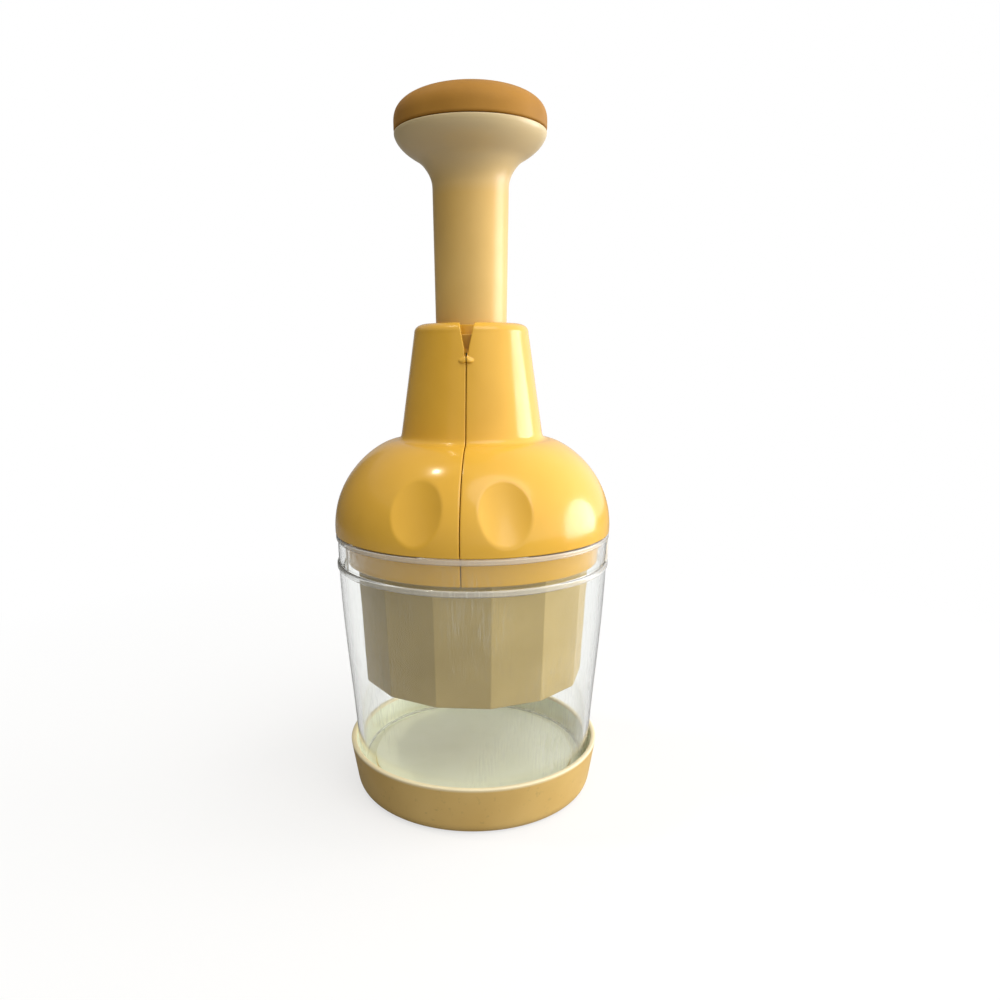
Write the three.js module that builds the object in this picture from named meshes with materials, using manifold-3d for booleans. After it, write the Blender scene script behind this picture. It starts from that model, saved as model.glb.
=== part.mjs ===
// Plunger food chopper: a tray, a clear cup, a two-half housing that opens like a
// butterfly, and a sprung plunger that drives turning zigzag blades through a guard.
// Millimetres, +Z up, origin at the middle of the tray's underside, seam facing -Y.

import * as THREE from 'three';
import { mergeVertices } from 'three/addons/utils/BufferGeometryUtils.js';
import Module from 'manifold-3d';

// Fits shared by all pieces
const TOUCH_GAP = 0.3;
const RUNNING_GAP = 0.4;
const CUT_OVERRUN = 2;

// Travel of the plunger and what it leaves under the blades
const STROKE = 40;
const BLADE_FLOOR_GAP = 0.5;
const TURN_PER_STROKE = THREE.MathUtils.degToRad(60);

// Tray
const TRAY_RIM_RADIUS = 49.2;
const TRAY_HEIGHT = 19.8;
const TRAY_WALL_LEAN = 2.2;
const TRAY_EDGE_ROUND = 3.6;
const TRAY_EDGE_HEIGHT = 4.8;
const TRAY_FOOT_WIDTH = 2.6;
const TRAY_WALL = 2;
const TRAY_LIP_ROUND = 0.6;
const TRAY_FLOOR_THICKNESS = 2.4;
const CHOPPING_HEIGHT = 12.1;
const MOAT_WIDTH = 3.6;
const CHOPPING_RISE = 1.8;

// Clear cup
const CUP_WALL = 1.9;
const CUP_FOOT_GAP = 0.5;
const CUP_WAIST_SPREAD = 0.9;
const CUP_WAIST_HEIGHT = 9.6;
const CUP_COLLAR_SPREAD = 4.1;
const CUP_COLLAR_HEIGHT = 10.4;
const CUP_BEAD_REACH = 0.6;
const CUP_RIM_BEAD_HEIGHT = 2.2;
const CUP_LEDGE_BEAD_HEIGHT = 2.4;
const CUP_BELLY_RADIUS_SHARES = [0.1, 0.86];
const CUP_BELLY_HEIGHT_SHARES = [0.25, 0.6];

// Housing halves
const HOUSING_WALL = 1.9;
const SEAM_GAP = 0.3;
const BAND_DEPTH = 10.1;
const BAND_TAPER = 1.1;
const DOME_OVERHANG = 0.7;
const DOME_EDGE_HEIGHT = 0.8;
const DOME_HEIGHT = 32.9;
const DOME_GUARD_LAP = 3.5;
const NECK_FLARE = 5.7;
const NECK_COLUMN_GAP = 2.3;
const NECK_ROUND_REACH = 3.4;
const NECK_ROUND_HEIGHT = 3.1;
const NECK_ROUND_EASE = 0.2;
const COLLAR_SWING_GAP = 3.6;
const COLLAR_THICKNESS = 3.4;
const NOTCH_DEPTH = 11.4;
const NOTCH_HALF_WIDTH = 2.6;
const DOME_SPREAD_SHARES = [0.208, 1.018];
const DOME_RISE_SHARES = [1.06, 0.675];

// Finger dimples pressed into the dome on both sides of the seam
const DIMPLE_DEPTH = 2.4;
const DIMPLE_HALF_WIDTH = 19;
const DIMPLE_HALF_LENGTH = 28;
const DIMPLE_HALF_THICKNESS = 14;
const DIMPLE_HEIGHT_SHARE = 0.42;
const DIMPLE_AZIMUTH = THREE.MathUtils.degToRad(17.5);

// Butterfly hinge
const HINGE_PIN_RADIUS = 1.3;
const HINGE_EYE_RADIUS = 3;
const HINGE_EYE_THICKNESS = 1;
const HINGE_WEB_HALF_HEIGHT = 2.2;
const HINGE_PAD_REACH = 0.2;
const HINGE_PAD_HALF_WIDTH = 3.8;

// Head frame: a column round the stem on a round carrier plate
const COLUMN_WALL = 2;
const CARRIER_THICKNESS = 2.8;
const CARRIER_EDGE_GAP = 0.6;
const SPRING_LEDGE_REACH = 3.5;
const SPRING_LEDGE_THICKNESS = 1.6;
const SPRING_LEDGE_NUT_GAP = 0.5;
const RIB_THICKNESS = 2;
const RIB_HEIGHT = 12;
const RIB_EDGE_GAP = 7.8;
const DRAIN_RADIUS = 3.2;
const DRAIN_EDGE_GAP = 13.8;
const WINDOW_HALF_WIDTH = 5;
const WINDOW_HEIGHT = 22;
const WINDOW_SILL = 14;
const RIB_COUNT = 4;
const DRAIN_COUNT = 8;

// Guide bush at the column's top
const BUSH_WALL = 1.2;
const BUSH_HEIGHT = 10;
const BUSH_TOP_DROP = 0.6;

// Plunger: stem, mushroom knob and palm cap
const STEM_RADIUS = 12.9;
const STEM_DRAFT = 0.6;
const STEM_WALL = 1.9;
const STEM_LIP_CATCH = 0.4;
const STEM_LIP_HEIGHT = 1.9;
const STEM_LIP_BUSH_GAP = 0.6;
const STEM_WASHER_GAP = 0.8;
const KNOB_RADIUS = 25.4;
const KNOB_NECK_GAP = 3.5;
const KNOB_EDGE_HEIGHT = 0.5;
const KNOB_WALL = 2.1;
const FLARE_HEIGHT = 16.5;
const FLARE_KNEE_OUT = 4.5;
const FLARE_KNEE_DROP = 8;
const FLARE_FILLET_SHARE = 0.5;
const FLARE_BOWL_RADIUS_SHARE = 0.88;
const FLARE_BOWL_HEIGHT_SHARE = 0.46;
const WEB_DROP = 17.5;
const WEB_THICKNESS = 3;
const SOCKET_RADIUS = 5.6;
const SOCKET_DEPTH = 10;
const CAP_HEIGHT = 12.7;
const CAP_SIDE_HEIGHT = 2.7;
const CAP_CROWN_RADIUS_SHARES = [1, 0.92];
const CAP_CROWN_HEIGHT_SHARES = [0.42, 0.95];
const CAP_SHELL = 3;
const CAP_SPIGOT_WALL = 1.8;
const CAP_SPIGOT_DEPTH = 4.5;

// Drive shaft, its screws and washers
const SHAFT_WIDTH = 5.2;
const SHAFT_TWIST_STEP = 7;
const SPIGOT_RADIUS = 3;
const SCREW_SHANK_RADIUS = 1.5;
const SCREW_SHANK_LENGTH = 11;
const SCREW_HEAD_RADIUS = 3.5;
const SCREW_HEAD_HEIGHT = 2;
const SCREW_SLOT_WIDTH = 0.9;
const SCREW_SLOT_DEPTH = 0.9;
const WASHER_RADIUS = 5.3;
const WASHER_THICKNESS = 1;
const SPRING_WASHER_THICKNESS = 1.2;
const THRUST_WASHER_RADIUS = 17;
const THRUST_WASHER_THICKNESS = 0.8;

// Return spring
const SPRING_WIRE_RADIUS = 0.9;
const SPRING_STEM_GAP = 0.9;
const SPRING_CURLS = 13;

// Blade guard with its scraper plate, drive nut and circlip
const GUARD_SIDES = 14;
const GUARD_BAND_GAP = 0.5;
const GUARD_TAPER = 2.2;
const GUARD_WALL = 1.8;
const GUARD_ROOF = 2;
const GUARD_ROOF_GAP = 1.4;
const GUARD_HUB_RADIUS = 8.6;
const GUARD_HUB_WALL = 2.5;
const GUARD_HUB_TOP_RISE = 2.4;
const SCRAPER_THICKNESS = 2.4;
const SCRAPER_RECESS = 3.9;
const SCRAPER_LEDGE_REACH = 1.6;
const SCRAPER_LEDGE_THICKNESS = 1.6;
const SCRAPER_SLOT_GAP = 0.8;
const BLADE_TIP_COVER = 1;
const NUT_HEIGHT = 7;
const NUT_FLANGE_EDGE = 0.4;
const NUT_FLANGE_THICKNESS = 1.2;
const CIRCLIP_WIDTH = 2.4;
const CIRCLIP_THICKNESS = 1;
const CIRCLIP_GROOVE_DEPTH = 1;
const CIRCLIP_MOUTH = THREE.MathUtils.degToRad(70);

// Blades and the hub that holds them
const BLADE_COUNT = 3;
const BLADE_THICKNESS = 0.8;
const BLADE_GRIP = 3.8;
const BLADE_RIM_GAP = 3.5;
const BLADE_RADIUS_SHARES = [0.27, 0.5, 0.72, 0.96];
const BLADE_SIDE_SHARES = [-0.11, 0.2, -0.23, 0.17];
const HUB_GUARD_GAP = 1;
const HUB_THICKNESS = 5;
const HUB_BOSS_RADIUS = 9;
const HUB_BOSS_HEIGHT = 3.8;
const HUB_COUNTERBORE_RADIUS = 6;
const HUB_COUNTERBORE_DEPTH = 4.2;
const HUB_SCRAPER_GAP = 0.6;

// Facets round each kind of turned piece, and steps along each kind of curve
const WIDE_FACETS = 40;
const STEM_FACETS = 28;
const HUB_FACETS = 20;
const SMALL_FACETS = 12;
const DIMPLE_FACETS = 24;
const DRAIN_FACETS = 10;
const DOME_STEPS = 9;
const CROWN_STEPS = 7;
const CURVE_STEPS = 5;
const FILLET_STEPS = 4;
const ROUND_STEPS = 3;

// Heights stacked from the table up
const moatZ = CHOPPING_HEIGHT - CHOPPING_RISE;
const cupFootZ = moatZ + TOUCH_GAP;
const scraperTopZ = CHOPPING_HEIGHT + BLADE_FLOOR_GAP + STROKE + BLADE_TIP_COVER;
const scraperZ = scraperTopZ - SCRAPER_THICKNESS;
const guardFootZ = scraperZ - SCRAPER_RECESS;
const bladeTipZ = scraperTopZ - BLADE_TIP_COVER;
const hubZ = scraperTopZ + STROKE + HUB_SCRAPER_GAP;
const hubPlateTopZ = hubZ + HUB_THICKNESS;
const hubTopZ = hubPlateTopZ + HUB_BOSS_HEIGHT;
const guardRoofZ = hubTopZ + GUARD_ROOF_GAP;
const guardTopZ = guardRoofZ + GUARD_ROOF;
const thrustZ = guardTopZ + TOUCH_GAP;
const carrierZ = thrustZ + THRUST_WASHER_THICKNESS + TOUCH_GAP;
const carrierTopZ = carrierZ + CARRIER_THICKNESS;
const circlipZ = carrierTopZ + TOUCH_GAP;
const guardHubTopZ = carrierTopZ + GUARD_HUB_TOP_RISE;
const nutFlangeZ = guardHubTopZ + TOUCH_GAP;
const nutTopZ = nutFlangeZ + NUT_FLANGE_THICKNESS;
const springLedgeZ = nutTopZ + SPRING_LEDGE_NUT_GAP;
const springWasherZ = springLedgeZ + SPRING_LEDGE_THICKNESS + TOUCH_GAP;
const springWasherTopZ = springWasherZ + SPRING_WASHER_THICKNESS;
const stemFootZ = springWasherTopZ + STEM_WASHER_GAP + STROKE;
const bushZ = stemFootZ + STEM_LIP_HEIGHT + STEM_LIP_BUSH_GAP;
const bushTopZ = bushZ + BUSH_HEIGHT;
const columnTopZ = bushTopZ + BUSH_TOP_DROP;
const collarZ = columnTopZ + TOUCH_GAP;
const neckTopZ = collarZ + COLLAR_THICKNESS;
const pivotZ = neckTopZ - NOTCH_DEPTH;
const domeEdgeZ = guardTopZ - DOME_GUARD_LAP;
const neckFootZ = domeEdgeZ + DOME_HEIGHT;
const cupTopZ = domeEdgeZ - TOUCH_GAP;
const bandFootZ = cupTopZ - BAND_DEPTH;
const knobTopZ = neckTopZ + STROKE + KNOB_NECK_GAP + FLARE_HEIGHT;
const webTopZ = knobTopZ - WEB_DROP;
const webZ = webTopZ - WEB_THICKNESS;
const socketZ = webZ - SOCKET_DEPTH;
const capZ = knobTopZ + TOUCH_GAP;

// Radii of the stem, of what it runs in and of what hangs on its column
const stemFootRadius = STEM_RADIUS - STEM_DRAFT;
const stemFootBoreRadius = stemFootRadius - STEM_WALL;
const bushBoreRadius = STEM_RADIUS + TOUCH_GAP;
const bushRadius = bushBoreRadius + BUSH_WALL;
const bushSeatRadius = bushRadius + TOUCH_GAP;
const stemLipRadius = bushBoreRadius + STEM_LIP_CATCH;
const columnBoreRadius = stemLipRadius + RUNNING_GAP;
const columnRadius = columnBoreRadius + COLUMN_WALL;
const collarBoreRadius = STEM_RADIUS + COLLAR_SWING_GAP;
const neckTopRadius = columnRadius + NECK_COLUMN_GAP + HOUSING_WALL;
const neckFootRadius = neckTopRadius + NECK_FLARE;
const spigotBoreRadius = SPIGOT_RADIUS + TOUCH_GAP;
const shankBoreRadius = SCREW_SHANK_RADIUS + TOUCH_GAP;
const guardHubBoreRadius = GUARD_HUB_RADIUS - GUARD_HUB_WALL;
const carrierBoreRadius = GUARD_HUB_RADIUS + RUNNING_GAP;
const padReach = columnRadius + HINGE_PAD_REACH;
const innerEyeY = padReach + TOUCH_GAP;
const outerEyeY = innerEyeY + HINGE_EYE_THICKNESS + TOUCH_GAP;
const outerEyeEndY = outerEyeY + HINGE_EYE_THICKNESS;

// Radii of the tray, of the cup that stands in it, and of what fits inside the cup
const trayEdgeRadius = TRAY_RIM_RADIUS - TRAY_WALL_LEAN;
const trayFootRadius = trayEdgeRadius - TRAY_EDGE_ROUND;
const trayLean = TRAY_WALL_LEAN / (TRAY_HEIGHT - TRAY_EDGE_HEIGHT);
const trayRadiusAt = (z) => trayEdgeRadius + (z - TRAY_EDGE_HEIGHT) * trayLean;
const cupFootRadius = trayRadiusAt(moatZ) - TRAY_WALL - CUP_FOOT_GAP;
const choppingRadius = cupFootRadius - CUP_WALL - MOAT_WIDTH;
const cupWaistRadius = cupFootRadius + CUP_WAIST_SPREAD;
const cupCollarRadius = cupWaistRadius + CUP_COLLAR_SPREAD;
const cupCollarBoreRadius = cupCollarRadius - CUP_WALL;
const cupBeadRadius = cupCollarRadius + CUP_BEAD_REACH;
const domeEdgeRadius = cupCollarRadius + DOME_OVERHANG;

// The band inside the cup's collar tapers so that an opening half clears the cup
const bandTopRadius = cupCollarBoreRadius - RUNNING_GAP;
const bandFootRadius = bandTopRadius - BAND_TAPER;
const guardTopRadius = bandFootRadius - HOUSING_WALL - GUARD_BAND_GAP;
const guardFootRadius = guardTopRadius - GUARD_TAPER;
const guardLean = GUARD_TAPER / (guardTopZ - guardFootZ);
const guardRadiusAt = (z) => guardFootRadius + (z - guardFootZ) * guardLean;
const guardFlatShare = Math.cos(Math.PI / GUARD_SIDES);
const hubRadius = (guardRadiusAt(scraperTopZ) - GUARD_WALL) * guardFlatShare - HUB_GUARD_GAP;
const bladeReach = hubRadius - BLADE_RIM_GAP;

const wasm = await Module();
wasm.setup();

// A closed mesh becomes a solid that can be cut and joined
function solidOf(geometry) {
  const bare = geometry.clone();
  bare.deleteAttribute('normal');
  bare.deleteAttribute('uv');
  const merged = mergeVertices(bare);
  const corners = merged.index.array;
  const kept = [];
  for (let i = 0; i < corners.length; i += 3) {
    const [a, b, c] = [corners[i], corners[i + 1], corners[i + 2]];
    if (a !== b && b !== c && c !== a) kept.push(a, b, c);
  }
  const place = merged.attributes.position;
  const corner = (i) => new THREE.Vector3().fromBufferAttribute(place, i);
  let volume = 0;
  for (let i = 0; i < kept.length; i += 3) {
    volume += corner(kept[i]).dot(corner(kept[i + 1]).cross(corner(kept[i + 2])));
  }
  if (volume < 0) kept.reverse();
  const triVerts = new Uint32Array(kept);
  return new wasm.Manifold(new wasm.Mesh({ numProp: 3, vertProperties: place.array, triVerts }));
}

function geometryOf(solid) {
  const mesh = solid.getMesh();
  const geometry = new THREE.BufferGeometry();
  geometry.setAttribute('position', new THREE.BufferAttribute(mesh.vertProperties, 3));
  geometry.setIndex(new THREE.BufferAttribute(mesh.triVerts, 1));
  geometry.computeVertexNormals();
  return geometry;
}

// A profile of [radius, height] points turned about Z; it meets the axis or closes on itself
function turned(profile, facets, startAngle = 0) {
  const points = profile.map(([r, z]) => new THREE.Vector2(r, z));
  const onAxis = profile[0][0] === 0 && profile[profile.length - 1][0] === 0;
  if (!onAxis) points.push(points[0].clone());
  const geometry = new THREE.LatheGeometry(points, facets, startAngle, 2 * Math.PI);
  geometry.rotateX(Math.PI / 2);
  return solidOf(geometry);
}

// A ring or, with no bore, a disc between two heights
function ring(radius, bore, lowZ, highZ, facets, startAngle = 0) {
  const profile = [[bore, lowZ], [radius, lowZ], [radius, highZ], [bore, highZ]];
  return turned(profile, facets, startAngle);
}

function block(low, high) {
  const [w, d, h] = [high[0] - low[0], high[1] - low[1], high[2] - low[2]];
  const geometry = new THREE.BoxGeometry(w, d, h);
  geometry.translate((low[0] + high[0]) / 2, (low[1] + high[1]) / 2, (low[2] + high[2]) / 2);
  return solidOf(geometry);
}

// A rod along Y between two places
function rodAlongY(radius, lowY, highY, z, facets) {
  const geometry = new THREE.CylinderGeometry(radius, radius, highY - lowY, facets);
  geometry.translate(0, (lowY + highY) / 2, z);
  return solidOf(geometry);
}

// A flat outline of [x, y] points raised from one height to another
function raised(outline, lowZ, highZ) {
  const shape = new THREE.Shape(outline.map(([x, y]) => new THREE.Vector2(x, y)));
  const geometry = new THREE.ExtrudeGeometry(shape, { depth: highZ - lowZ, bevelEnabled: false });
  geometry.translate(0, 0, lowZ);
  return solidOf(geometry);
}

function curvePoints(controls, steps = CURVE_STEPS) {
  const vectors = controls.map(([r, z]) => new THREE.Vector2(r, z));
  const curve = vectors.length === 4
    ? new THREE.CubicBezierCurve(...vectors)
    : new THREE.QuadraticBezierCurve(...vectors);
  return curve.getPoints(steps).map((p) => [p.x, p.y]);
}

// The same run of points moved sideways by a wall, to the left of its direction
function inset(profile, wall) {
  return profile.map((point, i) => {
    const before = profile[Math.max(i - 1, 0)];
    const after = profile[Math.min(i + 1, profile.length - 1)];
    const along = new THREE.Vector2(after[0] - before[0], after[1] - before[1]).normalize();
    return [point[0] - along.y * wall, point[1] + along.x * wall];
  });
}

// Radius of a profile at a height, on the straight run that spans it, or at its nearer end
function radiusAt(profile, z) {
  for (let i = 1; i < profile.length; i += 1) {
    const [[r0, z0], [r1, z1]] = [profile[i - 1], profile[i]];
    if ((z - z0) * (z - z1) <= 0 && z0 !== z1) return r0 + ((r1 - r0) * (z - z0)) / (z1 - z0);
  }
  const [first, last] = [profile[0], profile[profile.length - 1]];
  return Math.abs(z - first[1]) < Math.abs(z - last[1]) ? first[0] : last[0];
}

const chopper = new THREE.Group();
chopper.name = 'plunger_food_chopper';

function addPiece(name, geometry, { color, roughness, metalness = 0, opacity = 1 }) {
  const material = new THREE.MeshStandardMaterial({ color, roughness, metalness });
  material.opacity = opacity;
  material.transparent = opacity < 1;
  const mesh = new THREE.Mesh(geometry, material);
  mesh.name = name;
  chopper.add(mesh);
  return mesh;
}

const YELLOW = { color: '#e8c15a', roughness: 0.3 };
const CREAM = { color: '#ecd79c', roughness: 0.32 };
const TAN = { color: '#b88a3c', roughness: 0.55 };
const CLEAR = { color: '#dfe6e0', roughness: 0.08, opacity: 0.3 };
const IVORY = { color: '#e9dcc0', roughness: 0.45 };
const WHITE = { color: '#f0eee6', roughness: 0.5 };
const STEEL = { color: '#c9ccd0', roughness: 0.25, metalness: 1 };
const BRASS = { color: '#c8a24a', roughness: 0.35, metalness: 1 };

// Tray: leaning wall, foot ring, moat for the cup's foot and a raised chopping floor
function makeTray() {
  const underFloorZ = moatZ - TRAY_FLOOR_THICKNESS;
  const lipZ = TRAY_HEIGHT - TRAY_LIP_ROUND;
  const footBoreRadius = trayFootRadius - TRAY_FOOT_WIDTH;
  const profile = [
    [0, underFloorZ],
    [footBoreRadius, underFloorZ],
    [footBoreRadius, 0],
    [trayFootRadius, 0],
    ...curvePoints([
      [trayFootRadius, 0],
      [trayEdgeRadius - TRAY_LIP_ROUND, TRAY_LIP_ROUND],
      [trayEdgeRadius, TRAY_EDGE_HEIGHT],
    ], ROUND_STEPS).slice(1),
    [trayRadiusAt(lipZ), lipZ],
    [TRAY_RIM_RADIUS - TRAY_LIP_ROUND, TRAY_HEIGHT],
    [TRAY_RIM_RADIUS - TRAY_WALL + TRAY_LIP_ROUND, TRAY_HEIGHT],
    [trayRadiusAt(lipZ) - TRAY_WALL, lipZ],
    [trayRadiusAt(moatZ) - TRAY_WALL, moatZ],
    [choppingRadius, moatZ],
    [choppingRadius, CHOPPING_HEIGHT - TRAY_LIP_ROUND],
    [choppingRadius - TRAY_LIP_ROUND, CHOPPING_HEIGHT],
    [0, CHOPPING_HEIGHT],
  ];
  return turned(profile, WIDE_FACETS);
}

// Clear cup: bellied wall, collar between two beads, open at both ends
const cupLedgeTopZ = cupTopZ - CUP_COLLAR_HEIGHT;
const cupLedgeZ = cupLedgeTopZ - CUP_LEDGE_BEAD_HEIGHT;
const cupRimBeadZ = cupTopZ - CUP_RIM_BEAD_HEIGHT;
const cupWaistZ = cupFootZ + CUP_WAIST_HEIGHT;

function makeCup() {
  const spread = cupCollarRadius - cupWaistRadius;
  const rise = cupLedgeZ - cupWaistZ;
  const bellyControl = (i) => [
    cupWaistRadius + spread * CUP_BELLY_RADIUS_SHARES[i],
    cupWaistZ + rise * CUP_BELLY_HEIGHT_SHARES[i],
  ];
  const belly = curvePoints([
    [cupWaistRadius, cupWaistZ],
    bellyControl(0),
    bellyControl(1),
    [cupCollarRadius, cupLedgeZ],
  ]);
  const wallInside = belly.map(([r, z]) => [r - CUP_WALL, z]).reverse();
  const profile = [
    [cupFootRadius, cupFootZ],
    ...belly,
    [cupBeadRadius, cupLedgeZ + CUP_BEAD_REACH],
    [cupBeadRadius, cupLedgeTopZ - CUP_BEAD_REACH],
    [cupCollarRadius, cupLedgeTopZ],
    [cupCollarRadius, cupRimBeadZ],
    [cupBeadRadius, cupRimBeadZ + CUP_BEAD_REACH],
    [cupBeadRadius, cupTopZ - CUP_BEAD_REACH],
    [cupCollarRadius, cupTopZ],
    [cupCollarBoreRadius, cupTopZ],
    ...wallInside,
    [cupFootRadius - CUP_WALL, cupFootZ],
  ];
  return turned(profile, WIDE_FACETS);
}

// Outline of the dome and neck, from the dome's edge up to the rounded neck top
const domeSpread = domeEdgeRadius - neckFootRadius;
const domeLipZ = domeEdgeZ + DOME_EDGE_HEIGHT;
const domeRise = neckFootZ - domeLipZ;
const domeOutline = curvePoints([
  [domeEdgeRadius, domeLipZ],
  [neckFootRadius + domeSpread * DOME_SPREAD_SHARES[1], domeLipZ + domeRise * DOME_RISE_SHARES[1]],
  [neckFootRadius + domeSpread * DOME_SPREAD_SHARES[0], domeLipZ + domeRise * DOME_RISE_SHARES[0]],
  [neckFootRadius, neckFootZ],
], DOME_STEPS);
const neckShoulderZ = neckTopZ - NECK_ROUND_HEIGHT;
const domeInside = inset(domeOutline, HOUSING_WALL);
const neckInside = [
  [neckFootRadius - HOUSING_WALL, neckFootZ - HOUSING_WALL],
  [neckTopRadius - HOUSING_WALL, collarZ],
];

function housingOutside() {
  const shoulder = curvePoints([
    [neckTopRadius, neckShoulderZ],
    [neckTopRadius, neckTopZ - NECK_ROUND_HEIGHT * NECK_ROUND_EASE],
    [neckTopRadius - NECK_ROUND_REACH, neckTopZ],
  ], ROUND_STEPS);
  return turned([
    [0, bandFootZ],
    [bandFootRadius, bandFootZ],
    [bandTopRadius, domeEdgeZ],
    [domeEdgeRadius, domeEdgeZ],
    ...domeOutline,
    ...shoulder,
    [0, neckTopZ],
  ], WIDE_FACETS);
}

function housingInside() {
  const edgeInsideZ = domeLipZ + HOUSING_WALL;
  const domeAboveEdge = domeInside.slice(1, -1).filter(([, z]) => z > edgeInsideZ);
  return turned([
    [0, bandFootZ - CUT_OVERRUN],
    [bandFootRadius - HOUSING_WALL, bandFootZ - CUT_OVERRUN],
    [bandFootRadius - HOUSING_WALL, bandFootZ],
    [bandTopRadius - HOUSING_WALL, domeEdgeZ],
    [bandTopRadius - HOUSING_WALL, domeLipZ],
    [domeEdgeRadius - HOUSING_WALL, edgeInsideZ],
    ...domeAboveEdge,
    ...neckInside,
    [collarBoreRadius, collarZ],
    [collarBoreRadius, neckTopZ + CUT_OVERRUN],
    [0, neckTopZ + CUT_OVERRUN],
  ], WIDE_FACETS);
}

// Flattened ball whose lower cap presses the finger dimple; extra grows it for the inner wall
function dimpleBall(azimuth, extra) {
  const z = domeEdgeZ + DOME_HEIGHT * DIMPLE_HEIGHT_SHARE;
  const radius = radiusAt(domeOutline, z);
  const [lowZ, highZ] = [z - DIMPLE_DEPTH, z + DIMPLE_DEPTH];
  const lean = Math.atan2(radiusAt(domeOutline, lowZ) - radiusAt(domeOutline, highZ), highZ - lowZ);
  const lift = DIMPLE_HALF_THICKNESS - DIMPLE_DEPTH;
  const ball = new THREE.SphereGeometry(1, DIMPLE_FACETS, DIMPLE_FACETS / 2);
  ball.rotateX(Math.PI / 2);
  ball.scale(DIMPLE_HALF_WIDTH + extra, DIMPLE_HALF_THICKNESS + extra, DIMPLE_HALF_LENGTH + extra);
  ball.translate(0, -lift, 0);
  ball.rotateX(-lean);
  ball.translate(0, -radius, z);
  ball.rotateZ(azimuth);
  return solidOf(ball);
}

// Left half of the housing; the right half is the same moulding turned half a circle
function makeHousingHalf() {
  let outside = housingOutside();
  let inside = housingInside();
  for (const azimuth of [-DIMPLE_AZIMUTH, Math.PI + DIMPLE_AZIMUTH]) {
    outside = outside.subtract(dimpleBall(azimuth, 0));
    inside = inside.subtract(dimpleBall(azimuth, HOUSING_WALL));
  }
  const reach = domeEdgeRadius + CUT_OVERRUN;
  const keep = block(
    [-reach, -reach, bandFootZ - CUT_OVERRUN],
    [-SEAM_GAP / 2, reach, neckTopZ + CUT_OVERRUN],
  );
  let half = outside.subtract(inside).intersect(keep);
  const notchGeometry = new THREE.ExtrudeGeometry(new THREE.Shape([
    new THREE.Vector2(0, pivotZ),
    new THREE.Vector2(0, neckTopZ + CUT_OVERRUN),
    new THREE.Vector2(-NOTCH_HALF_WIDTH, neckTopZ + CUT_OVERRUN),
    new THREE.Vector2(-NOTCH_HALF_WIDTH, neckTopZ),
    new THREE.Vector2(-SEAM_GAP / 2, pivotZ),
  ]), { depth: 2 * reach, bevelEnabled: false });
  notchGeometry.rotateX(Math.PI / 2);
  notchGeometry.translate(0, reach, 0);
  half = half.subtract(solidOf(notchGeometry));
  const eyes = [
    { lowY: -outerEyeEndY, highY: -outerEyeY },
    { lowY: innerEyeY, highY: innerEyeY + HINGE_EYE_THICKNESS },
  ];
  for (const { lowY, highY } of eyes) {
    const web = block(
      [-neckTopRadius, lowY, pivotZ - HINGE_WEB_HALF_HEIGHT],
      [0, highY, pivotZ + HINGE_WEB_HALF_HEIGHT],
    ).intersect(outside);
    const eye = rodAlongY(HINGE_EYE_RADIUS, lowY, highY, pivotZ, SMALL_FACETS);
    half = half.add(web).add(eye);
    const bore = HINGE_PIN_RADIUS + TOUCH_GAP;
    half = half.subtract(rodAlongY(bore, lowY - TOUCH_GAP, highY + TOUCH_GAP, pivotZ, SMALL_FACETS));
  }
  return half;
}

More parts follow.
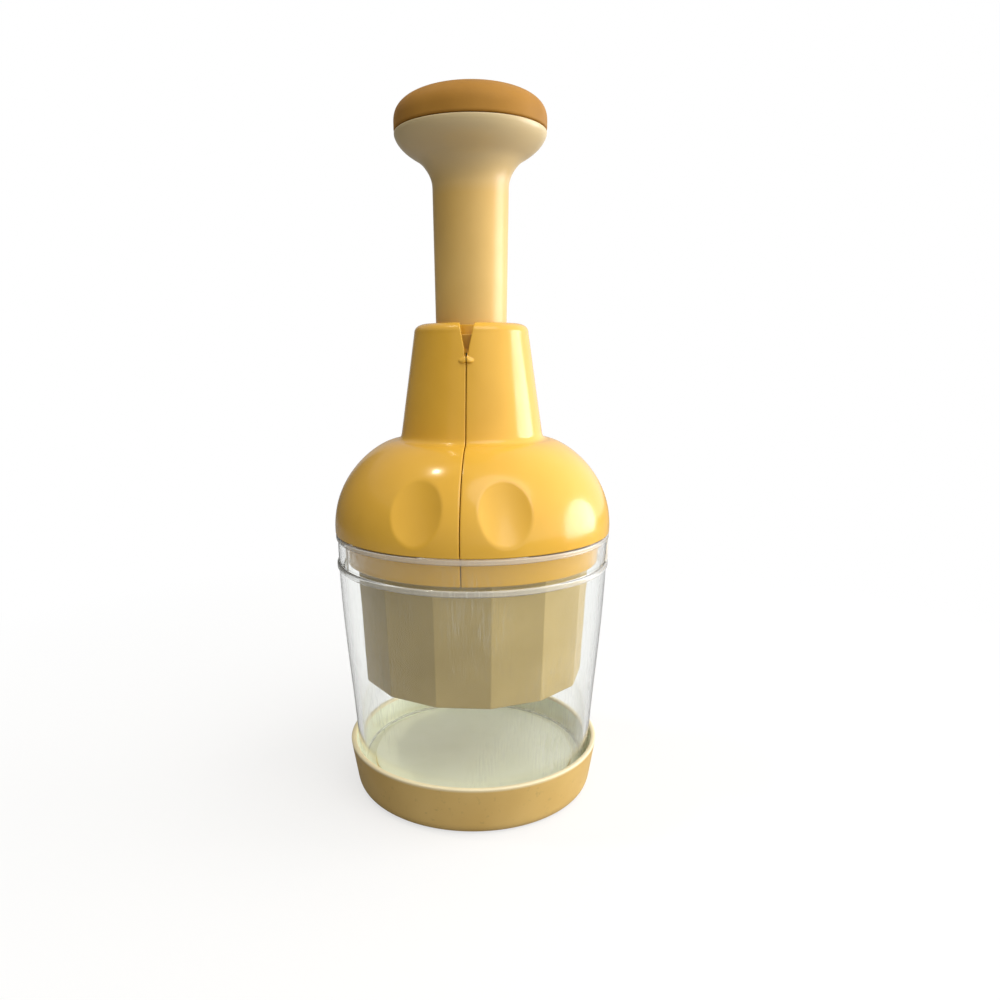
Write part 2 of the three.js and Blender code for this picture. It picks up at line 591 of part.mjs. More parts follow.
// Head frame: carrier plate, ribs, and the column with its spring ledge and bush seat
function makeHeadFrame() {
  const carrierRadius = radiusAt(domeInside, carrierTopZ) - CARRIER_EDGE_GAP;
  const ledgeBoreRadius = columnBoreRadius - SPRING_LEDGE_REACH;
  const ribReach = carrierRadius - RIB_EDGE_GAP;
  const drainCircleRadius = carrierRadius - DRAIN_EDGE_GAP;
  let frame = turned([
    [carrierBoreRadius, carrierZ],
    [carrierRadius, carrierZ],
    [carrierRadius, carrierTopZ],
    [columnRadius, carrierTopZ],
    [columnRadius, columnTopZ],
    [bushSeatRadius, columnTopZ],
    [bushSeatRadius, bushZ - TOUCH_GAP],
    [columnBoreRadius, bushZ - TOUCH_GAP],
    [columnBoreRadius, springLedgeZ + SPRING_LEDGE_THICKNESS],
    [ledgeBoreRadius, springLedgeZ + SPRING_LEDGE_THICKNESS],
    [ledgeBoreRadius, springLedgeZ],
    [columnBoreRadius, springLedgeZ],
    [columnBoreRadius, carrierTopZ],
    [carrierBoreRadius, carrierTopZ],
  ], STEM_FACETS);
  const ribInner = (columnRadius + columnBoreRadius) / 2;
  for (let i = 0; i < RIB_COUNT; i += 1) {
    const geometry = new THREE.ExtrudeGeometry(new THREE.Shape([
      new THREE.Vector2(ribInner, carrierZ + TOUCH_GAP),
      new THREE.Vector2(ribReach, carrierZ + TOUCH_GAP),
      new THREE.Vector2(ribReach, carrierTopZ + TOUCH_GAP),
      new THREE.Vector2(ribInner, carrierTopZ + RIB_HEIGHT),
    ]), { depth: RIB_THICKNESS, bevelEnabled: false });
    geometry.translate(0, 0, -RIB_THICKNESS / 2);
    geometry.rotateX(Math.PI / 2);
    geometry.rotateZ(((i + 0.5) * 2 * Math.PI) / RIB_COUNT);
    frame = frame.add(solidOf(geometry));
  }
  for (let i = 0; i < DRAIN_COUNT; i += 1) {
    const angle = (i * 2 * Math.PI) / DRAIN_COUNT;
    const [x, y] = [drainCircleRadius * Math.cos(angle), drainCircleRadius * Math.sin(angle)];
    const hole = ring(DRAIN_RADIUS, 0, carrierZ - CUT_OVERRUN, carrierTopZ + CUT_OVERRUN, DRAIN_FACETS);
    frame = frame.subtract(hole.translate([x, y, 0]));
  }
  const windowZ = springWasherTopZ + WINDOW_SILL;
  frame = frame.subtract(block(
    [-columnRadius - CUT_OVERRUN, -WINDOW_HALF_WIDTH, windowZ],
    [columnRadius + CUT_OVERRUN, WINDOW_HALF_WIDTH, windowZ + WINDOW_HEIGHT],
  ));
  const padOuter = block(
    [-HINGE_PAD_HALF_WIDTH, -padReach, pivotZ - HINGE_PAD_HALF_WIDTH],
    [HINGE_PAD_HALF_WIDTH, padReach, pivotZ + HINGE_PAD_HALF_WIDTH],
  );
  const padReachZ = HINGE_PAD_HALF_WIDTH + CUT_OVERRUN;
  const padBore = ring(bushSeatRadius, 0, pivotZ - padReachZ, pivotZ + padReachZ, STEM_FACETS);
  const pinHole = rodAlongY(HINGE_PIN_RADIUS + TOUCH_GAP, -padReach - CUT_OVERRUN,
    padReach + CUT_OVERRUN, pivotZ, SMALL_FACETS);
  for (const side of [0, Math.PI]) {
    for (const azimuth of [side - DIMPLE_AZIMUTH, side + DIMPLE_AZIMUTH]) {
      frame = frame.subtract(dimpleBall(azimuth, HOUSING_WALL + RUNNING_GAP));
    }
  }
  return frame.add(padOuter.subtract(padBore)).subtract(pinHole);
}

// Plunger stem with its retaining lip, flared mushroom knob, web and shaft socket
const flareZ = knobTopZ - FLARE_HEIGHT;
const flareKneeZ = knobTopZ - FLARE_KNEE_DROP;
const flareKneeRadius = STEM_RADIUS + FLARE_KNEE_OUT;
const knobEdgeZ = knobTopZ - KNOB_EDGE_HEIGHT;
const flareOutline = [
  ...curvePoints([
    [STEM_RADIUS, flareZ],
    [STEM_RADIUS, flareZ + (flareKneeZ - flareZ) * FLARE_FILLET_SHARE],
    [flareKneeRadius, flareKneeZ],
  ], FILLET_STEPS),
  ...curvePoints([
    [flareKneeRadius, flareKneeZ],
    [
      flareKneeRadius + (KNOB_RADIUS - flareKneeRadius) * FLARE_BOWL_RADIUS_SHARE,
      flareKneeZ + (knobEdgeZ - flareKneeZ) * FLARE_BOWL_HEIGHT_SHARE,
    ],
    [KNOB_RADIUS, knobEdgeZ],
  ]).slice(1),
];
const flareInside = inset(flareOutline, KNOB_WALL).filter(([, z]) => z > webTopZ + KNOB_WALL);
const knobBoreRadius = KNOB_RADIUS - KNOB_WALL;

function makePlungerStem() {
  const stemBoreTop = STEM_RADIUS - STEM_WALL;
  const lipTopZ = stemFootZ + STEM_LIP_HEIGHT;
  const cavity = flareInside.filter(([r]) => r < knobBoreRadius).reverse();
  return turned([
    [stemFootBoreRadius, stemFootZ],
    [stemLipRadius, stemFootZ],
    [stemLipRadius, lipTopZ],
    [stemFootRadius, lipTopZ],
    ...flareOutline,
    [KNOB_RADIUS, knobTopZ],
    [knobBoreRadius, knobTopZ],
    ...cavity,
    [stemBoreTop, webTopZ],
    [spigotBoreRadius, webTopZ],
    [spigotBoreRadius, socketZ],
    [SOCKET_RADIUS, socketZ],
    [SOCKET_RADIUS, webZ],
    [stemBoreTop, webZ],
  ], STEM_FACETS);
}

// Palm cap: crowned puck on the knob's rim, held by a spigot inside the rim
function makePalmCap() {
  const sideTopZ = capZ + CAP_SIDE_HEIGHT;
  const capTopZ = capZ + CAP_HEIGHT;
  const crownRise = capTopZ - sideTopZ;
  const crown = curvePoints([
    [KNOB_RADIUS, sideTopZ],
    [KNOB_RADIUS * CAP_CROWN_RADIUS_SHARES[0], sideTopZ + crownRise * CAP_CROWN_HEIGHT_SHARES[0]],
    [KNOB_RADIUS * CAP_CROWN_RADIUS_SHARES[1], sideTopZ + crownRise * CAP_CROWN_HEIGHT_SHARES[1]],
    [0, capTopZ],
  ], CROWN_STEPS);
  const rimInsideZ = capZ - CAP_SPIGOT_DEPTH;
  const spigotRadius = radiusAt(flareInside, rimInsideZ) - TOUCH_GAP;
  const spigotBore = spigotRadius - CAP_SPIGOT_WALL;
  return turned([
    [0, capTopZ - CAP_SHELL],
    [spigotBore, sideTopZ],
    [spigotBore, rimInsideZ],
    [spigotRadius, rimInsideZ],
    [spigotRadius, capZ],
    [KNOB_RADIUS, capZ],
    ...crown,
  ], STEM_FACETS);
}

// Square bar whose section turns with height, in step with the nut that follows it
function twistedBar(halfWidth, lowZ, highZ) {
  const steps = Math.ceil((highZ - lowZ) / SHAFT_TWIST_STEP);
  const geometry = new THREE.BoxGeometry(2 * halfWidth, 2 * halfWidth, highZ - lowZ, 1, 1, steps);
  geometry.translate(0, 0, (lowZ + highZ) / 2);
  const upright = new THREE.Vector3(0, 0, 1);
  const place = geometry.attributes.position;
  for (let i = 0; i < place.count; i += 1) {
    const corner = new THREE.Vector3().fromBufferAttribute(place, i);
    corner.applyAxisAngle(upright, ((corner.z - guardRoofZ) * TURN_PER_STROKE) / STROKE);
    place.setXYZ(i, corner.x, corner.y, corner.z);
  }
  return solidOf(geometry);
}

const shaftFootZ = hubTopZ + TOUCH_GAP;
const shaftShoulderZ = socketZ - TOUCH_GAP;
const spigotFootZ = hubZ + HUB_COUNTERBORE_DEPTH + TOUCH_GAP;
const spigotTopZ = webTopZ - TOUCH_GAP;

function makeDriveShaft() {
  const lowerBoreTopZ = spigotFootZ + SCREW_SHANK_LENGTH;
  const upperBoreZ = spigotTopZ - SCREW_SHANK_LENGTH;
  return twistedBar(SHAFT_WIDTH / 2, shaftFootZ, shaftShoulderZ)
    .add(ring(SPIGOT_RADIUS, 0, spigotFootZ, shaftFootZ + TOUCH_GAP, SMALL_FACETS))
    .add(ring(SPIGOT_RADIUS, 0, shaftShoulderZ - TOUCH_GAP, spigotTopZ, SMALL_FACETS))
    .subtract(ring(shankBoreRadius, 0, spigotFootZ - CUT_OVERRUN, lowerBoreTopZ, SMALL_FACETS))
    .subtract(ring(shankBoreRadius, 0, upperBoreZ, spigotTopZ + CUT_OVERRUN, SMALL_FACETS));
}

// Slotted screw, head at headZ; up is 1 when the shank points up and -1 when it points down
function makeScrew(headZ, up) {
  const neckZ = headZ + up * SCREW_HEAD_HEIGHT;
  const tipZ = neckZ + up * (SCREW_SHANK_LENGTH - TOUCH_GAP);
  const slotZ = headZ + up * SCREW_SLOT_DEPTH;
  const slotMouthZ = headZ - up * CUT_OVERRUN;
  const [slotLow, slotHigh] = [Math.min(slotMouthZ, slotZ), Math.max(slotMouthZ, slotZ)];
  return turned([
    [0, headZ],
    [SCREW_HEAD_RADIUS, headZ],
    [SCREW_HEAD_RADIUS, neckZ],
    [SCREW_SHANK_RADIUS, neckZ],
    [SCREW_SHANK_RADIUS, tipZ],
    [0, tipZ],
  ], SMALL_FACETS).subtract(block(
    [-SCREW_HEAD_RADIUS - CUT_OVERRUN, -SCREW_SLOT_WIDTH / 2, slotLow],
    [SCREW_HEAD_RADIUS + CUT_OVERRUN, SCREW_SLOT_WIDTH / 2, slotHigh],
  ));
}

// Return spring: one unbroken helical tube, flattened in pitch at both ends
function makeSpring(lowZ, highZ) {
  const sides = 5;
  const stepsPerCurl = 8;
  const steps = SPRING_CURLS * stepsPerCurl;
  const coilRadius = stemFootBoreRadius - SPRING_STEM_GAP - SPRING_WIRE_RADIUS;
  const run = highZ - lowZ - 2 * SPRING_WIRE_RADIUS;
  const centres = [];
  for (let i = 0; i <= steps; i += 1) {
    const angle = (i * 2 * Math.PI) / stepsPerCurl;
    const z = lowZ + SPRING_WIRE_RADIUS + (run * i) / steps;
    centres.push(new THREE.Vector3(coilRadius * Math.cos(angle), coilRadius * Math.sin(angle), z));
  }
  let least = Infinity;
  centres.forEach((a, i) => centres.forEach((b, j) => {
    if (j - i > stepsPerCurl / 2) least = Math.min(least, a.distanceTo(b));
  }));
  console.log(`spring least gap to itself ${(least - 2 * SPRING_WIRE_RADIUS).toFixed(2)} mm`);
  const positions = [];
  centres.forEach((centre, i) => {
    const angle = (i * 2 * Math.PI) / stepsPerCurl;
    const outward = new THREE.Vector3(Math.cos(angle), Math.sin(angle), 0);
    for (let side = 0; side < sides; side += 1) {
      const turn = (side * 2 * Math.PI) / sides;
      const point = centre.clone().addScaledVector(outward, SPRING_WIRE_RADIUS * Math.cos(turn));
      point.z += SPRING_WIRE_RADIUS * Math.sin(turn);
      positions.push(point.x, point.y, point.z);
    }
  });
  const faces = [];
  for (let i = 0; i < steps; i += 1) {
    for (let side = 0; side < sides; side += 1) {
      const [a, b] = [i * sides + side, i * sides + ((side + 1) % sides)];
      faces.push(a, b, b + sides, a, b + sides, a + sides);
    }
  }
  const last = steps * sides;
  for (let side = 1; side < sides - 1; side += 1) {
    faces.push(0, side + 1, side, last, last + side, last + side + 1);
  }
  const geometry = new THREE.BufferGeometry();
  geometry.setAttribute('position', new THREE.Float32BufferAttribute(positions, 3));
  geometry.setIndex(faces);
  return solidOf(geometry);
}

// Twelve-sided guard skirt with roof, hub and the ledge that carries the scraper plate
const guardTurn = Math.PI / GUARD_SIDES;

function makeBladeGuard() {
  const inner = (z) => guardRadiusAt(z) - GUARD_WALL;
  const ledgeTopZ = scraperZ - TOUCH_GAP;
  const ledgeZ = ledgeTopZ - SCRAPER_LEDGE_THICKNESS;
  const skirt = turned([
    [0, guardRoofZ],
    [inner(guardRoofZ), guardRoofZ],
    [inner(ledgeTopZ), ledgeTopZ],
    [inner(ledgeTopZ) - SCRAPER_LEDGE_REACH, ledgeTopZ],
    [inner(ledgeZ), ledgeZ],
    [inner(guardFootZ), guardFootZ],
    [guardFootRadius, guardFootZ],
    [guardTopRadius, guardTopZ],
    [0, guardTopZ],
  ], GUARD_SIDES, guardTurn);
  const hub = ring(GUARD_HUB_RADIUS, 0, guardRoofZ + TOUCH_GAP, guardHubTopZ, HUB_FACETS);
  const [boreLowZ, boreHighZ] = [guardRoofZ - CUT_OVERRUN, guardHubTopZ + CUT_OVERRUN];
  const bore = ring(guardHubBoreRadius, 0, boreLowZ, boreHighZ, HUB_FACETS);
  const groove = ring(GUARD_HUB_RADIUS + CUT_OVERRUN, GUARD_HUB_RADIUS - CIRCLIP_GROOVE_DEPTH,
    carrierTopZ, circlipZ + CIRCLIP_THICKNESS + TOUCH_GAP, HUB_FACETS);
  return skirt.add(hub).subtract(bore).subtract(groove);
}

function makeDriveNut() {
  const nutZ = guardHubTopZ - NUT_HEIGHT;
  const bodyRadius = guardHubBoreRadius - TOUCH_GAP;
  const flangeRadius = GUARD_HUB_RADIUS - NUT_FLANGE_EDGE;
  const body = turned([
    [0, nutZ],
    [bodyRadius, nutZ],
    [bodyRadius, nutFlangeZ],
    [flangeRadius, nutFlangeZ],
    [flangeRadius, nutTopZ],
    [0, nutTopZ],
  ], HUB_FACETS);
  const halfHole = SHAFT_WIDTH / 2 + RUNNING_GAP;
  return body.subtract(twistedBar(halfHole, nutZ - CUT_OVERRUN, nutTopZ + CUT_OVERRUN));
}

function makeCirclip() {
  const bore = GUARD_HUB_RADIUS - CIRCLIP_GROOVE_DEPTH + TOUCH_GAP;
  const radius = GUARD_HUB_RADIUS + CIRCLIP_WIDTH;
  const [from, to] = [CIRCLIP_MOUTH / 2, 2 * Math.PI - CIRCLIP_MOUTH / 2];
  const outline = [];
  for (let i = 0; i <= SMALL_FACETS; i += 1) {
    const angle = from + ((to - from) * i) / SMALL_FACETS;
    outline.push([radius * Math.cos(angle), radius * Math.sin(angle)]);
  }
  for (let i = SMALL_FACETS; i >= 0; i -= 1) {
    const angle = from + ((to - from) * i) / SMALL_FACETS;
    outline.push([bore * Math.cos(angle), bore * Math.sin(angle)]);
  }
  return raised(outline, circlipZ, circlipZ + CIRCLIP_THICKNESS);
}

// Zigzag strip in plan, as wide as its two sides stand apart
function zigzagOutline(halfThickness, endReach) {
  const spine = BLADE_RADIUS_SHARES.map((share, i) => new THREE.Vector2(
    bladeReach * share, bladeReach * BLADE_SIDE_SHARES[i]));
  const last = spine.length - 1;
  spine[0].addScaledVector(spine[1].clone().sub(spine[0]).normalize(), -endReach);
  spine[last].addScaledVector(spine[last].clone().sub(spine[last - 1]).normalize(), endReach);
  const sides = [[], []];
  spine.forEach((point, i) => {
    const back = spine[i].clone().sub(spine[Math.max(i - 1, 0)]).normalize();
    const ahead = spine[Math.min(i + 1, last)].clone().sub(spine[i]).normalize();
    const along = back.clone().add(ahead).normalize();
    const normal = new THREE.Vector2(-along.y, along.x);
    const straight = i === 0 ? ahead : back;
    const mitre = halfThickness / normal.dot(new THREE.Vector2(-straight.y, straight.x));
    sides[0].push([point.x + normal.x * mitre, point.y + normal.y * mitre]);
    sides[1].unshift([point.x - normal.x * mitre, point.y - normal.y * mitre]);
  });
  return [...sides[0], ...sides[1]];
}

function bladeShape(index, halfThickness, endReach, lowZ, highZ) {
  return raised(zigzagOutline(halfThickness, endReach), lowZ, highZ)
    .rotate([0, 0, (index * 360) / BLADE_COUNT]);
}

function makeBladeHub() {
  let hub = turned([
    [spigotBoreRadius, hubZ + HUB_COUNTERBORE_DEPTH],
    [HUB_COUNTERBORE_RADIUS, hubZ + HUB_COUNTERBORE_DEPTH],
    [HUB_COUNTERBORE_RADIUS, hubZ],
    [hubRadius, hubZ],
    [hubRadius, hubPlateTopZ],
    [HUB_BOSS_RADIUS, hubPlateTopZ],
    [HUB_BOSS_RADIUS, hubTopZ],
    [spigotBoreRadius, hubTopZ],
  ], WIDE_FACETS);
  const slotHalf = BLADE_THICKNESS / 2 + TOUCH_GAP;
  const slotTopZ = hubZ + BLADE_GRIP + TOUCH_GAP;
  for (let i = 0; i < BLADE_COUNT; i += 1) {
    hub = hub.subtract(bladeShape(i, slotHalf, TOUCH_GAP, hubZ - CUT_OVERRUN, slotTopZ));
  }
  return hub;
}

function makeScraperPlate() {
  const radius = guardRadiusAt(scraperZ) - GUARD_WALL - TOUCH_GAP;
  let plate = ring(radius, 0, scraperZ, scraperTopZ, GUARD_SIDES, guardTurn);
  const slotHalf = BLADE_THICKNESS / 2 + SCRAPER_SLOT_GAP;
  const [lowZ, highZ] = [scraperZ - CUT_OVERRUN, scraperTopZ + CUT_OVERRUN];
  for (let i = 0; i < BLADE_COUNT; i += 1) {
    plate = plate.subtract(bladeShape(i, slotHalf, SCRAPER_SLOT_GAP, lowZ, highZ));
  }
  return plate;
}

// Bring the pieces together, from the table up
addPiece('base_tray', geometryOf(makeTray()), CREAM);
addPiece('clear_cup', geometryOf(makeCup()), CLEAR);

const halfGeometry = geometryOf(makeHousingHalf());
addPiece('housing_left', halfGeometry, YELLOW);
addPiece('housing_right', halfGeometry.clone(), YELLOW).rotation.z = Math.PI;

addPiece('head_frame', geometryOf(makeHeadFrame()), WHITE);
const guideBush = ring(bushRadius, bushBoreRadius, bushZ, bushTopZ, STEM_FACETS);
addPiece('guide_bush', geometryOf(guideBush), WHITE);
for (const [name, side] of [['hinge_pin_front', -1], ['hinge_pin_back', 1]]) {
  const [near, far] = [side * (bushSeatRadius + TOUCH_GAP), side * outerEyeEndY];
  const [lowY, highY] = [Math.min(near, far), Math.max(near, far)];
  const pin = rodAlongY(HINGE_PIN_RADIUS, lowY, highY, pivotZ, SMALL_FACETS);
  addPiece(name, geometryOf(pin), STEEL);
}

const shaftHoleRadius = SHAFT_WIDTH * Math.SQRT1_2 + RUNNING_GAP;
const springWasherRadius = columnBoreRadius - TOUCH_GAP;
const springWasher = ring(springWasherRadius, shaftHoleRadius, springWasherZ, springWasherTopZ, HUB_FACETS);
addPiece('spring_washer', geometryOf(springWasher), STEEL);
const thrustTopZ = thrustZ + THRUST_WASHER_THICKNESS;
const thrustWasher = ring(THRUST_WASHER_RADIUS, carrierBoreRadius, thrustZ, thrustTopZ, HUB_FACETS);
addPiece('thrust_washer', geometryOf(thrustWasher), WHITE);
const spring = makeSpring(springWasherTopZ + TOUCH_GAP, webZ - TOUCH_GAP);
addPiece('return_spring', geometryOf(spring), STEEL);

addPiece('plunger_stem', geometryOf(makePlungerStem()), CREAM);
addPiece('palm_cap', geometryOf(makePalmCap()), TAN);
addPiece('drive_shaft', geometryOf(makeDriveShaft()), STEEL);
const knobWasherZ = webTopZ + TOUCH_GAP;
const knobWasherTopZ = knobWasherZ + WASHER_THICKNESS;
const knobWasher = ring(WASHER_RADIUS, shankBoreRadius, knobWasherZ, knobWasherTopZ, SMALL_FACETS);
addPiece('knob_washer', geometryOf(knobWasher), STEEL);
const knobScrewZ = knobWasherTopZ + TOUCH_GAP + SCREW_HEAD_HEIGHT;
addPiece('knob_screw', geometryOf(makeScrew(knobScrewZ, -1)), STEEL);
const hubWasherTopZ = hubZ + HUB_COUNTERBORE_DEPTH - TOUCH_GAP;
const hubWasherZ = hubWasherTopZ - WASHER_THICKNESS;
const hubWasher = ring(WASHER_RADIUS, shankBoreRadius, hubWasherZ, hubWasherTopZ, SMALL_FACETS);
addPiece('hub_washer', geometryOf(hubWasher), STEEL);
const hubScrewZ = hubWasherZ - TOUCH_GAP - SCREW_HEAD_HEIGHT;
addPiece('hub_screw', geometryOf(makeScrew(hubScrewZ, 1)), STEEL);

addPiece('blade_guard', geometryOf(makeBladeGuard()), IVORY);
addPiece('scraper_plate', geometryOf(makeScraperPlate()), IVORY);
addPiece('drive_nut', geometryOf(makeDriveNut()), BRASS);
addPiece('guard_circlip', geometryOf(makeCirclip()), STEEL);

addPiece('blade_hub', geometryOf(makeBladeHub()), WHITE);
for (let i = 0; i < BLADE_COUNT; i += 1) {
  const blade = bladeShape(i, BLADE_THICKNESS / 2, 0, bladeTipZ, hubZ + BLADE_GRIP);
  addPiece(`blade_${i + 1}`, geometryOf(blade), STEEL);
}

export default chopper;
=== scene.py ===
"""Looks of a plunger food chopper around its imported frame: a cream tray, a clear cup, a
yellow housing in two halves, and a cream plunger with a tan palm cap.

Lengths are in millimetres until a mesh is made. +Z is up and the seam faces -Y.
"""

from math import asin, cos, pi, radians, sin, sqrt, tan

import bmesh
import bpy
from mathutils import Matrix, Vector


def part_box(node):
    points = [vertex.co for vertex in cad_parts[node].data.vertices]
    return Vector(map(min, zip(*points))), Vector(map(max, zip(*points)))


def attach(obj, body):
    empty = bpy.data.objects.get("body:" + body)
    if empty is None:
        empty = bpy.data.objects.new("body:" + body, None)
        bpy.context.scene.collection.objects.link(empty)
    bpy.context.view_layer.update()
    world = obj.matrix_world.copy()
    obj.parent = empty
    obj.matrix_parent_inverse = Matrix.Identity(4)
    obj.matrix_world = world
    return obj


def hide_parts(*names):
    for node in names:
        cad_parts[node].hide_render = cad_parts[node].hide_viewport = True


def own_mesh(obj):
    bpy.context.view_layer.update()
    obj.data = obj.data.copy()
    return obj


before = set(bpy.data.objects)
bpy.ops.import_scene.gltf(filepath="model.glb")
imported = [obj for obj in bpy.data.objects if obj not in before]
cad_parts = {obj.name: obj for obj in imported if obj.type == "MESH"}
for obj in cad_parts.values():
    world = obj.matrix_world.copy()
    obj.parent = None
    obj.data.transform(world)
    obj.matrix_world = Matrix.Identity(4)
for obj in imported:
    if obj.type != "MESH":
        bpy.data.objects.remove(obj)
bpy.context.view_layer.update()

MM = 0.001
TURN = 2 * pi
QUARTER = pi / 2
ON_AXIS = 1e-6
SHARP_ANGLE = radians(38)

# Fits shared by the pieces
TOUCH_GAP = 0.3
RUNNING_GAP = 0.4
OVERRUN = 2

# Steps round each kind of turned piece
WIDE_STEPS = 180
STEM_STEPS = 128
HUB_STEPS = 96
NUT_STEPS = 72
WASHER_STEPS = 64
SMALL_STEPS = 48
HOLE_STEPS = 32
HOLE_START = 0.05

# Rounded corners: an arc's steps, its longest share of a side, and the part held flat beside it
FILLET_STEPS = 4
FILLET_REACH = 0.38
FILLET_HOLD = 0.3


def span(node):
    """Lowest and highest corner of a CAD node, in millimetres."""
    low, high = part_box(node)
    return low / MM, high / MM


def mix(a, b, share):
    return a + (b - a) * share


def bezier(controls, steps):
    """Points on the curve of three or four controls, both ends included."""
    points = []
    for i in range(steps + 1):
        layer = [Vector(c) for c in controls]
        while len(layer) > 1:
            layer = [a.lerp(b, i / steps) for a, b in zip(layer, layer[1:])]
        points.append(tuple(layer[0]))
    return points


def swept(start, end, pulls, steps):
    """Curve between two points; each pull is a control's share of the way across and up."""
    controls = [(mix(start[0], end[0], x), mix(start[1], end[1], y)) for x, y in pulls]
    return bezier([start, *controls, end], steps)


def rounded(corners, steps=FILLET_STEPS):
    """Outline of (x, y) points, with an arc at each corner that has a third number, its radius."""
    points = []
    for i, corner in enumerate(corners):
        here = Vector(corner[:2])
        radius = corner[2] if len(corner) > 2 else 0
        if not radius:
            points.append(tuple(here))
            continue
        back = Vector(corners[i - 1][:2]) - here
        ahead = Vector(corners[(i + 1) % len(corners)][:2]) - here
        reach = radius / tan(back.angle(ahead) / 2)
        reach = min(reach, FILLET_REACH * back.length, FILLET_REACH * ahead.length)
        start = here + back.normalized() * reach
        end = here + ahead.normalized() * reach
        hold = reach * FILLET_HOLD
        points.append(tuple(start + back.normalized() * hold))
        points.extend(bezier([start, here, end], steps))
        points.append(tuple(end + ahead.normalized() * hold))
    return points


def inset(curve, wall):
    """A curve moved inward by a wall, without its ends."""
    moved_in = []
    for before, here, after in zip(curve, curve[1:], curve[2:]):
        along = (Vector(after) - Vector(before)).normalized()
        moved_in.append((here[0] - along.y * wall, here[1] + along.x * wall))
    return moved_in


def circle(steps, start=0.0):
    angles = [start + TURN * i / steps for i in range(steps)]
    return [(cos(a), sin(a)) for a in angles]


def arc(radius, start, end, steps):
    angles = [mix(start, end, i / steps) for i in range(steps + 1)]
    return [(radius * cos(a), radius * sin(a)) for a in angles]


def add_loops(bm, loops, closed_loops=True, closed_run=False):
    """Faces between each loop of vertices and the next."""
    pairs = list(zip(loops, loops[1:]))
    if closed_run:
        pairs.append((loops[-1], loops[0]))
    for first, second in pairs:
        count = len(first)
        for i in range(count if closed_loops else count - 1):
            j = (i + 1) % count
            corners = []
            for v in (first[i], first[j], second[j], second[i]):
                if v not in corners:
                    corners.append(v)
            if len(corners) > 2:
                bm.faces.new(corners)


def turned(outline, rays):
    """An outline of (radius, height) carried round a section of rays; it closes on itself."""
    bm = bmesh.new()
    loops = []
    for r, z in outline:
        if r < ON_AXIS:
            loops.append([bm.verts.new((0, 0, z * MM))] * len(rays))
        else:
            loops.append([bm.verts.new((r * x * MM, r * y * MM, z * MM)) for x, y in rays])
    add_loops(bm, loops, closed_run=True)
    bmesh.ops.recalc_face_normals(bm, faces=bm.faces)
    return bm


def lathed(corners, steps, start=0.0):
    """Corners of (radius, height) and an arc's radius, rounded and turned about the axis."""
    return turned(rounded(corners), circle(steps, start))


def disc_corners(radius, low_z, high_z, edge):
    return [(0, low_z), (radius, low_z, edge), (radius, high_z, edge), (0, high_z)]


def rod(radius, low_z, high_z, edge=0, steps=SMALL_STEPS, start=0.0):
    return lathed(disc_corners(radius, low_z, high_z, edge), steps, start)


def ring(radius, bore, low_z, high_z, edge, steps):
    return lathed([
        (bore, low_z, edge), (radius, low_z, edge), (radius, high_z, edge), (bore, high_z, edge),
    ], steps)


def lofted(rings):
    """Closed rings of points joined in a row, with both ends filled."""
    bm = bmesh.new()
    loops = [[bm.verts.new(Vector(p) * MM) for p in ring_points] for ring_points in rings]
    add_loops(bm, loops)
    bm.faces.new(loops[0])
    bm.faces.new(loops[-1])
    bmesh.ops.recalc_face_normals(bm, faces=bm.faces)
    return bm


def raised(outline, low_z, high_z):
    """A flat outline of (x, y) points raised between two heights."""
    return lofted([[(x, y, z) for x, y in outline] for z in (low_z, high_z)])


def thickened(outline, low_y, high_y):
    """An upright outline of (x, z) points carried between two places along Y."""
    return lofted([[(x, y, z) for x, z in outline] for y in (low_y, high_y)])


def block(low, high):
    (x0, y0, z0), (x1, y1, z1) = low, high
    return raised([(x0, y0), (x1, y0), (x1, y1), (x0, y1)], z0, z1)


def moved(bm, matrix):
    bmesh.ops.transform(bm, matrix=matrix, verts=bm.verts)
    return bm


def turned_about_z(bm, angle):
    return moved(bm, Matrix.Rotation(angle, 4, "Z"))


def laid_along_y(bm, z):
    """A piece made upright about the axis, laid so that its height runs along Y at a height z."""
    return moved(bm, Matrix.Translation((0, 0, z * MM)) @ Matrix.Rotation(-QUARTER, 4, "X"))


def painted(bm, wanted):
    """The mesh with its second material on the faces whose middle and normal are wanted."""
    for face in bm.faces:
        if wanted(face.calc_center_median() / MM, face.normal):
            face.material_index = 1
    return bm


def link_object(name, data):
    made = bpy.data.objects.new(name, data)
    bpy.context.scene.collection.objects.link(made)
    return made


def link_mesh(name, bm):
    mesh = bpy.data.meshes.new(name)
    bm.to_mesh(mesh)
    bm.free()
    return link_object(name, mesh)


def combined(base, add=(), cut=()):
    """The base mesh joined with the meshes to add, then cut by the others."""
    work = link_mesh("work", base)
    tools = []
    for operation, others in (("UNION", add), ("DIFFERENCE", cut)):
        for other in others:
            tool = link_mesh("tool", other)
            tools.append(tool)
            modifier = work.modifiers.new("combine", "BOOLEAN")
            modifier.operation = operation
            modifier.solver = "EXACT"
            modifier.object = tool
    graph = bpy.context.evaluated_depsgraph_get()
    result = bmesh.new()
    result.from_mesh(work.evaluated_get(graph).to_mesh())
    for o in [work, *tools]:
        mesh = o.data
        bpy.data.objects.remove(o)
        bpy.data.meshes.remove(mesh)
    return result


def add_piece(name, bm, materials, body, nodes=(), sharp=SHARP_ANGLE):
    """A finished mesh as a piece that rides on a body and stands for CAD nodes."""
    made = link_mesh(name, bm)
    made.data.shade_smooth()
    made.data.set_sharp_from_angle(angle=sharp)
    for material in materials:
        made.data.materials.append(material)
    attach(made, body)
    if nodes:
        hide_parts(*nodes)
    return made


# Materials

SPECK_RANGE = (0.62, 0.7)
SCRATCH_RANGE = (0.5, 0.66)
SMEAR_RANGE = (0.48, 0.66)


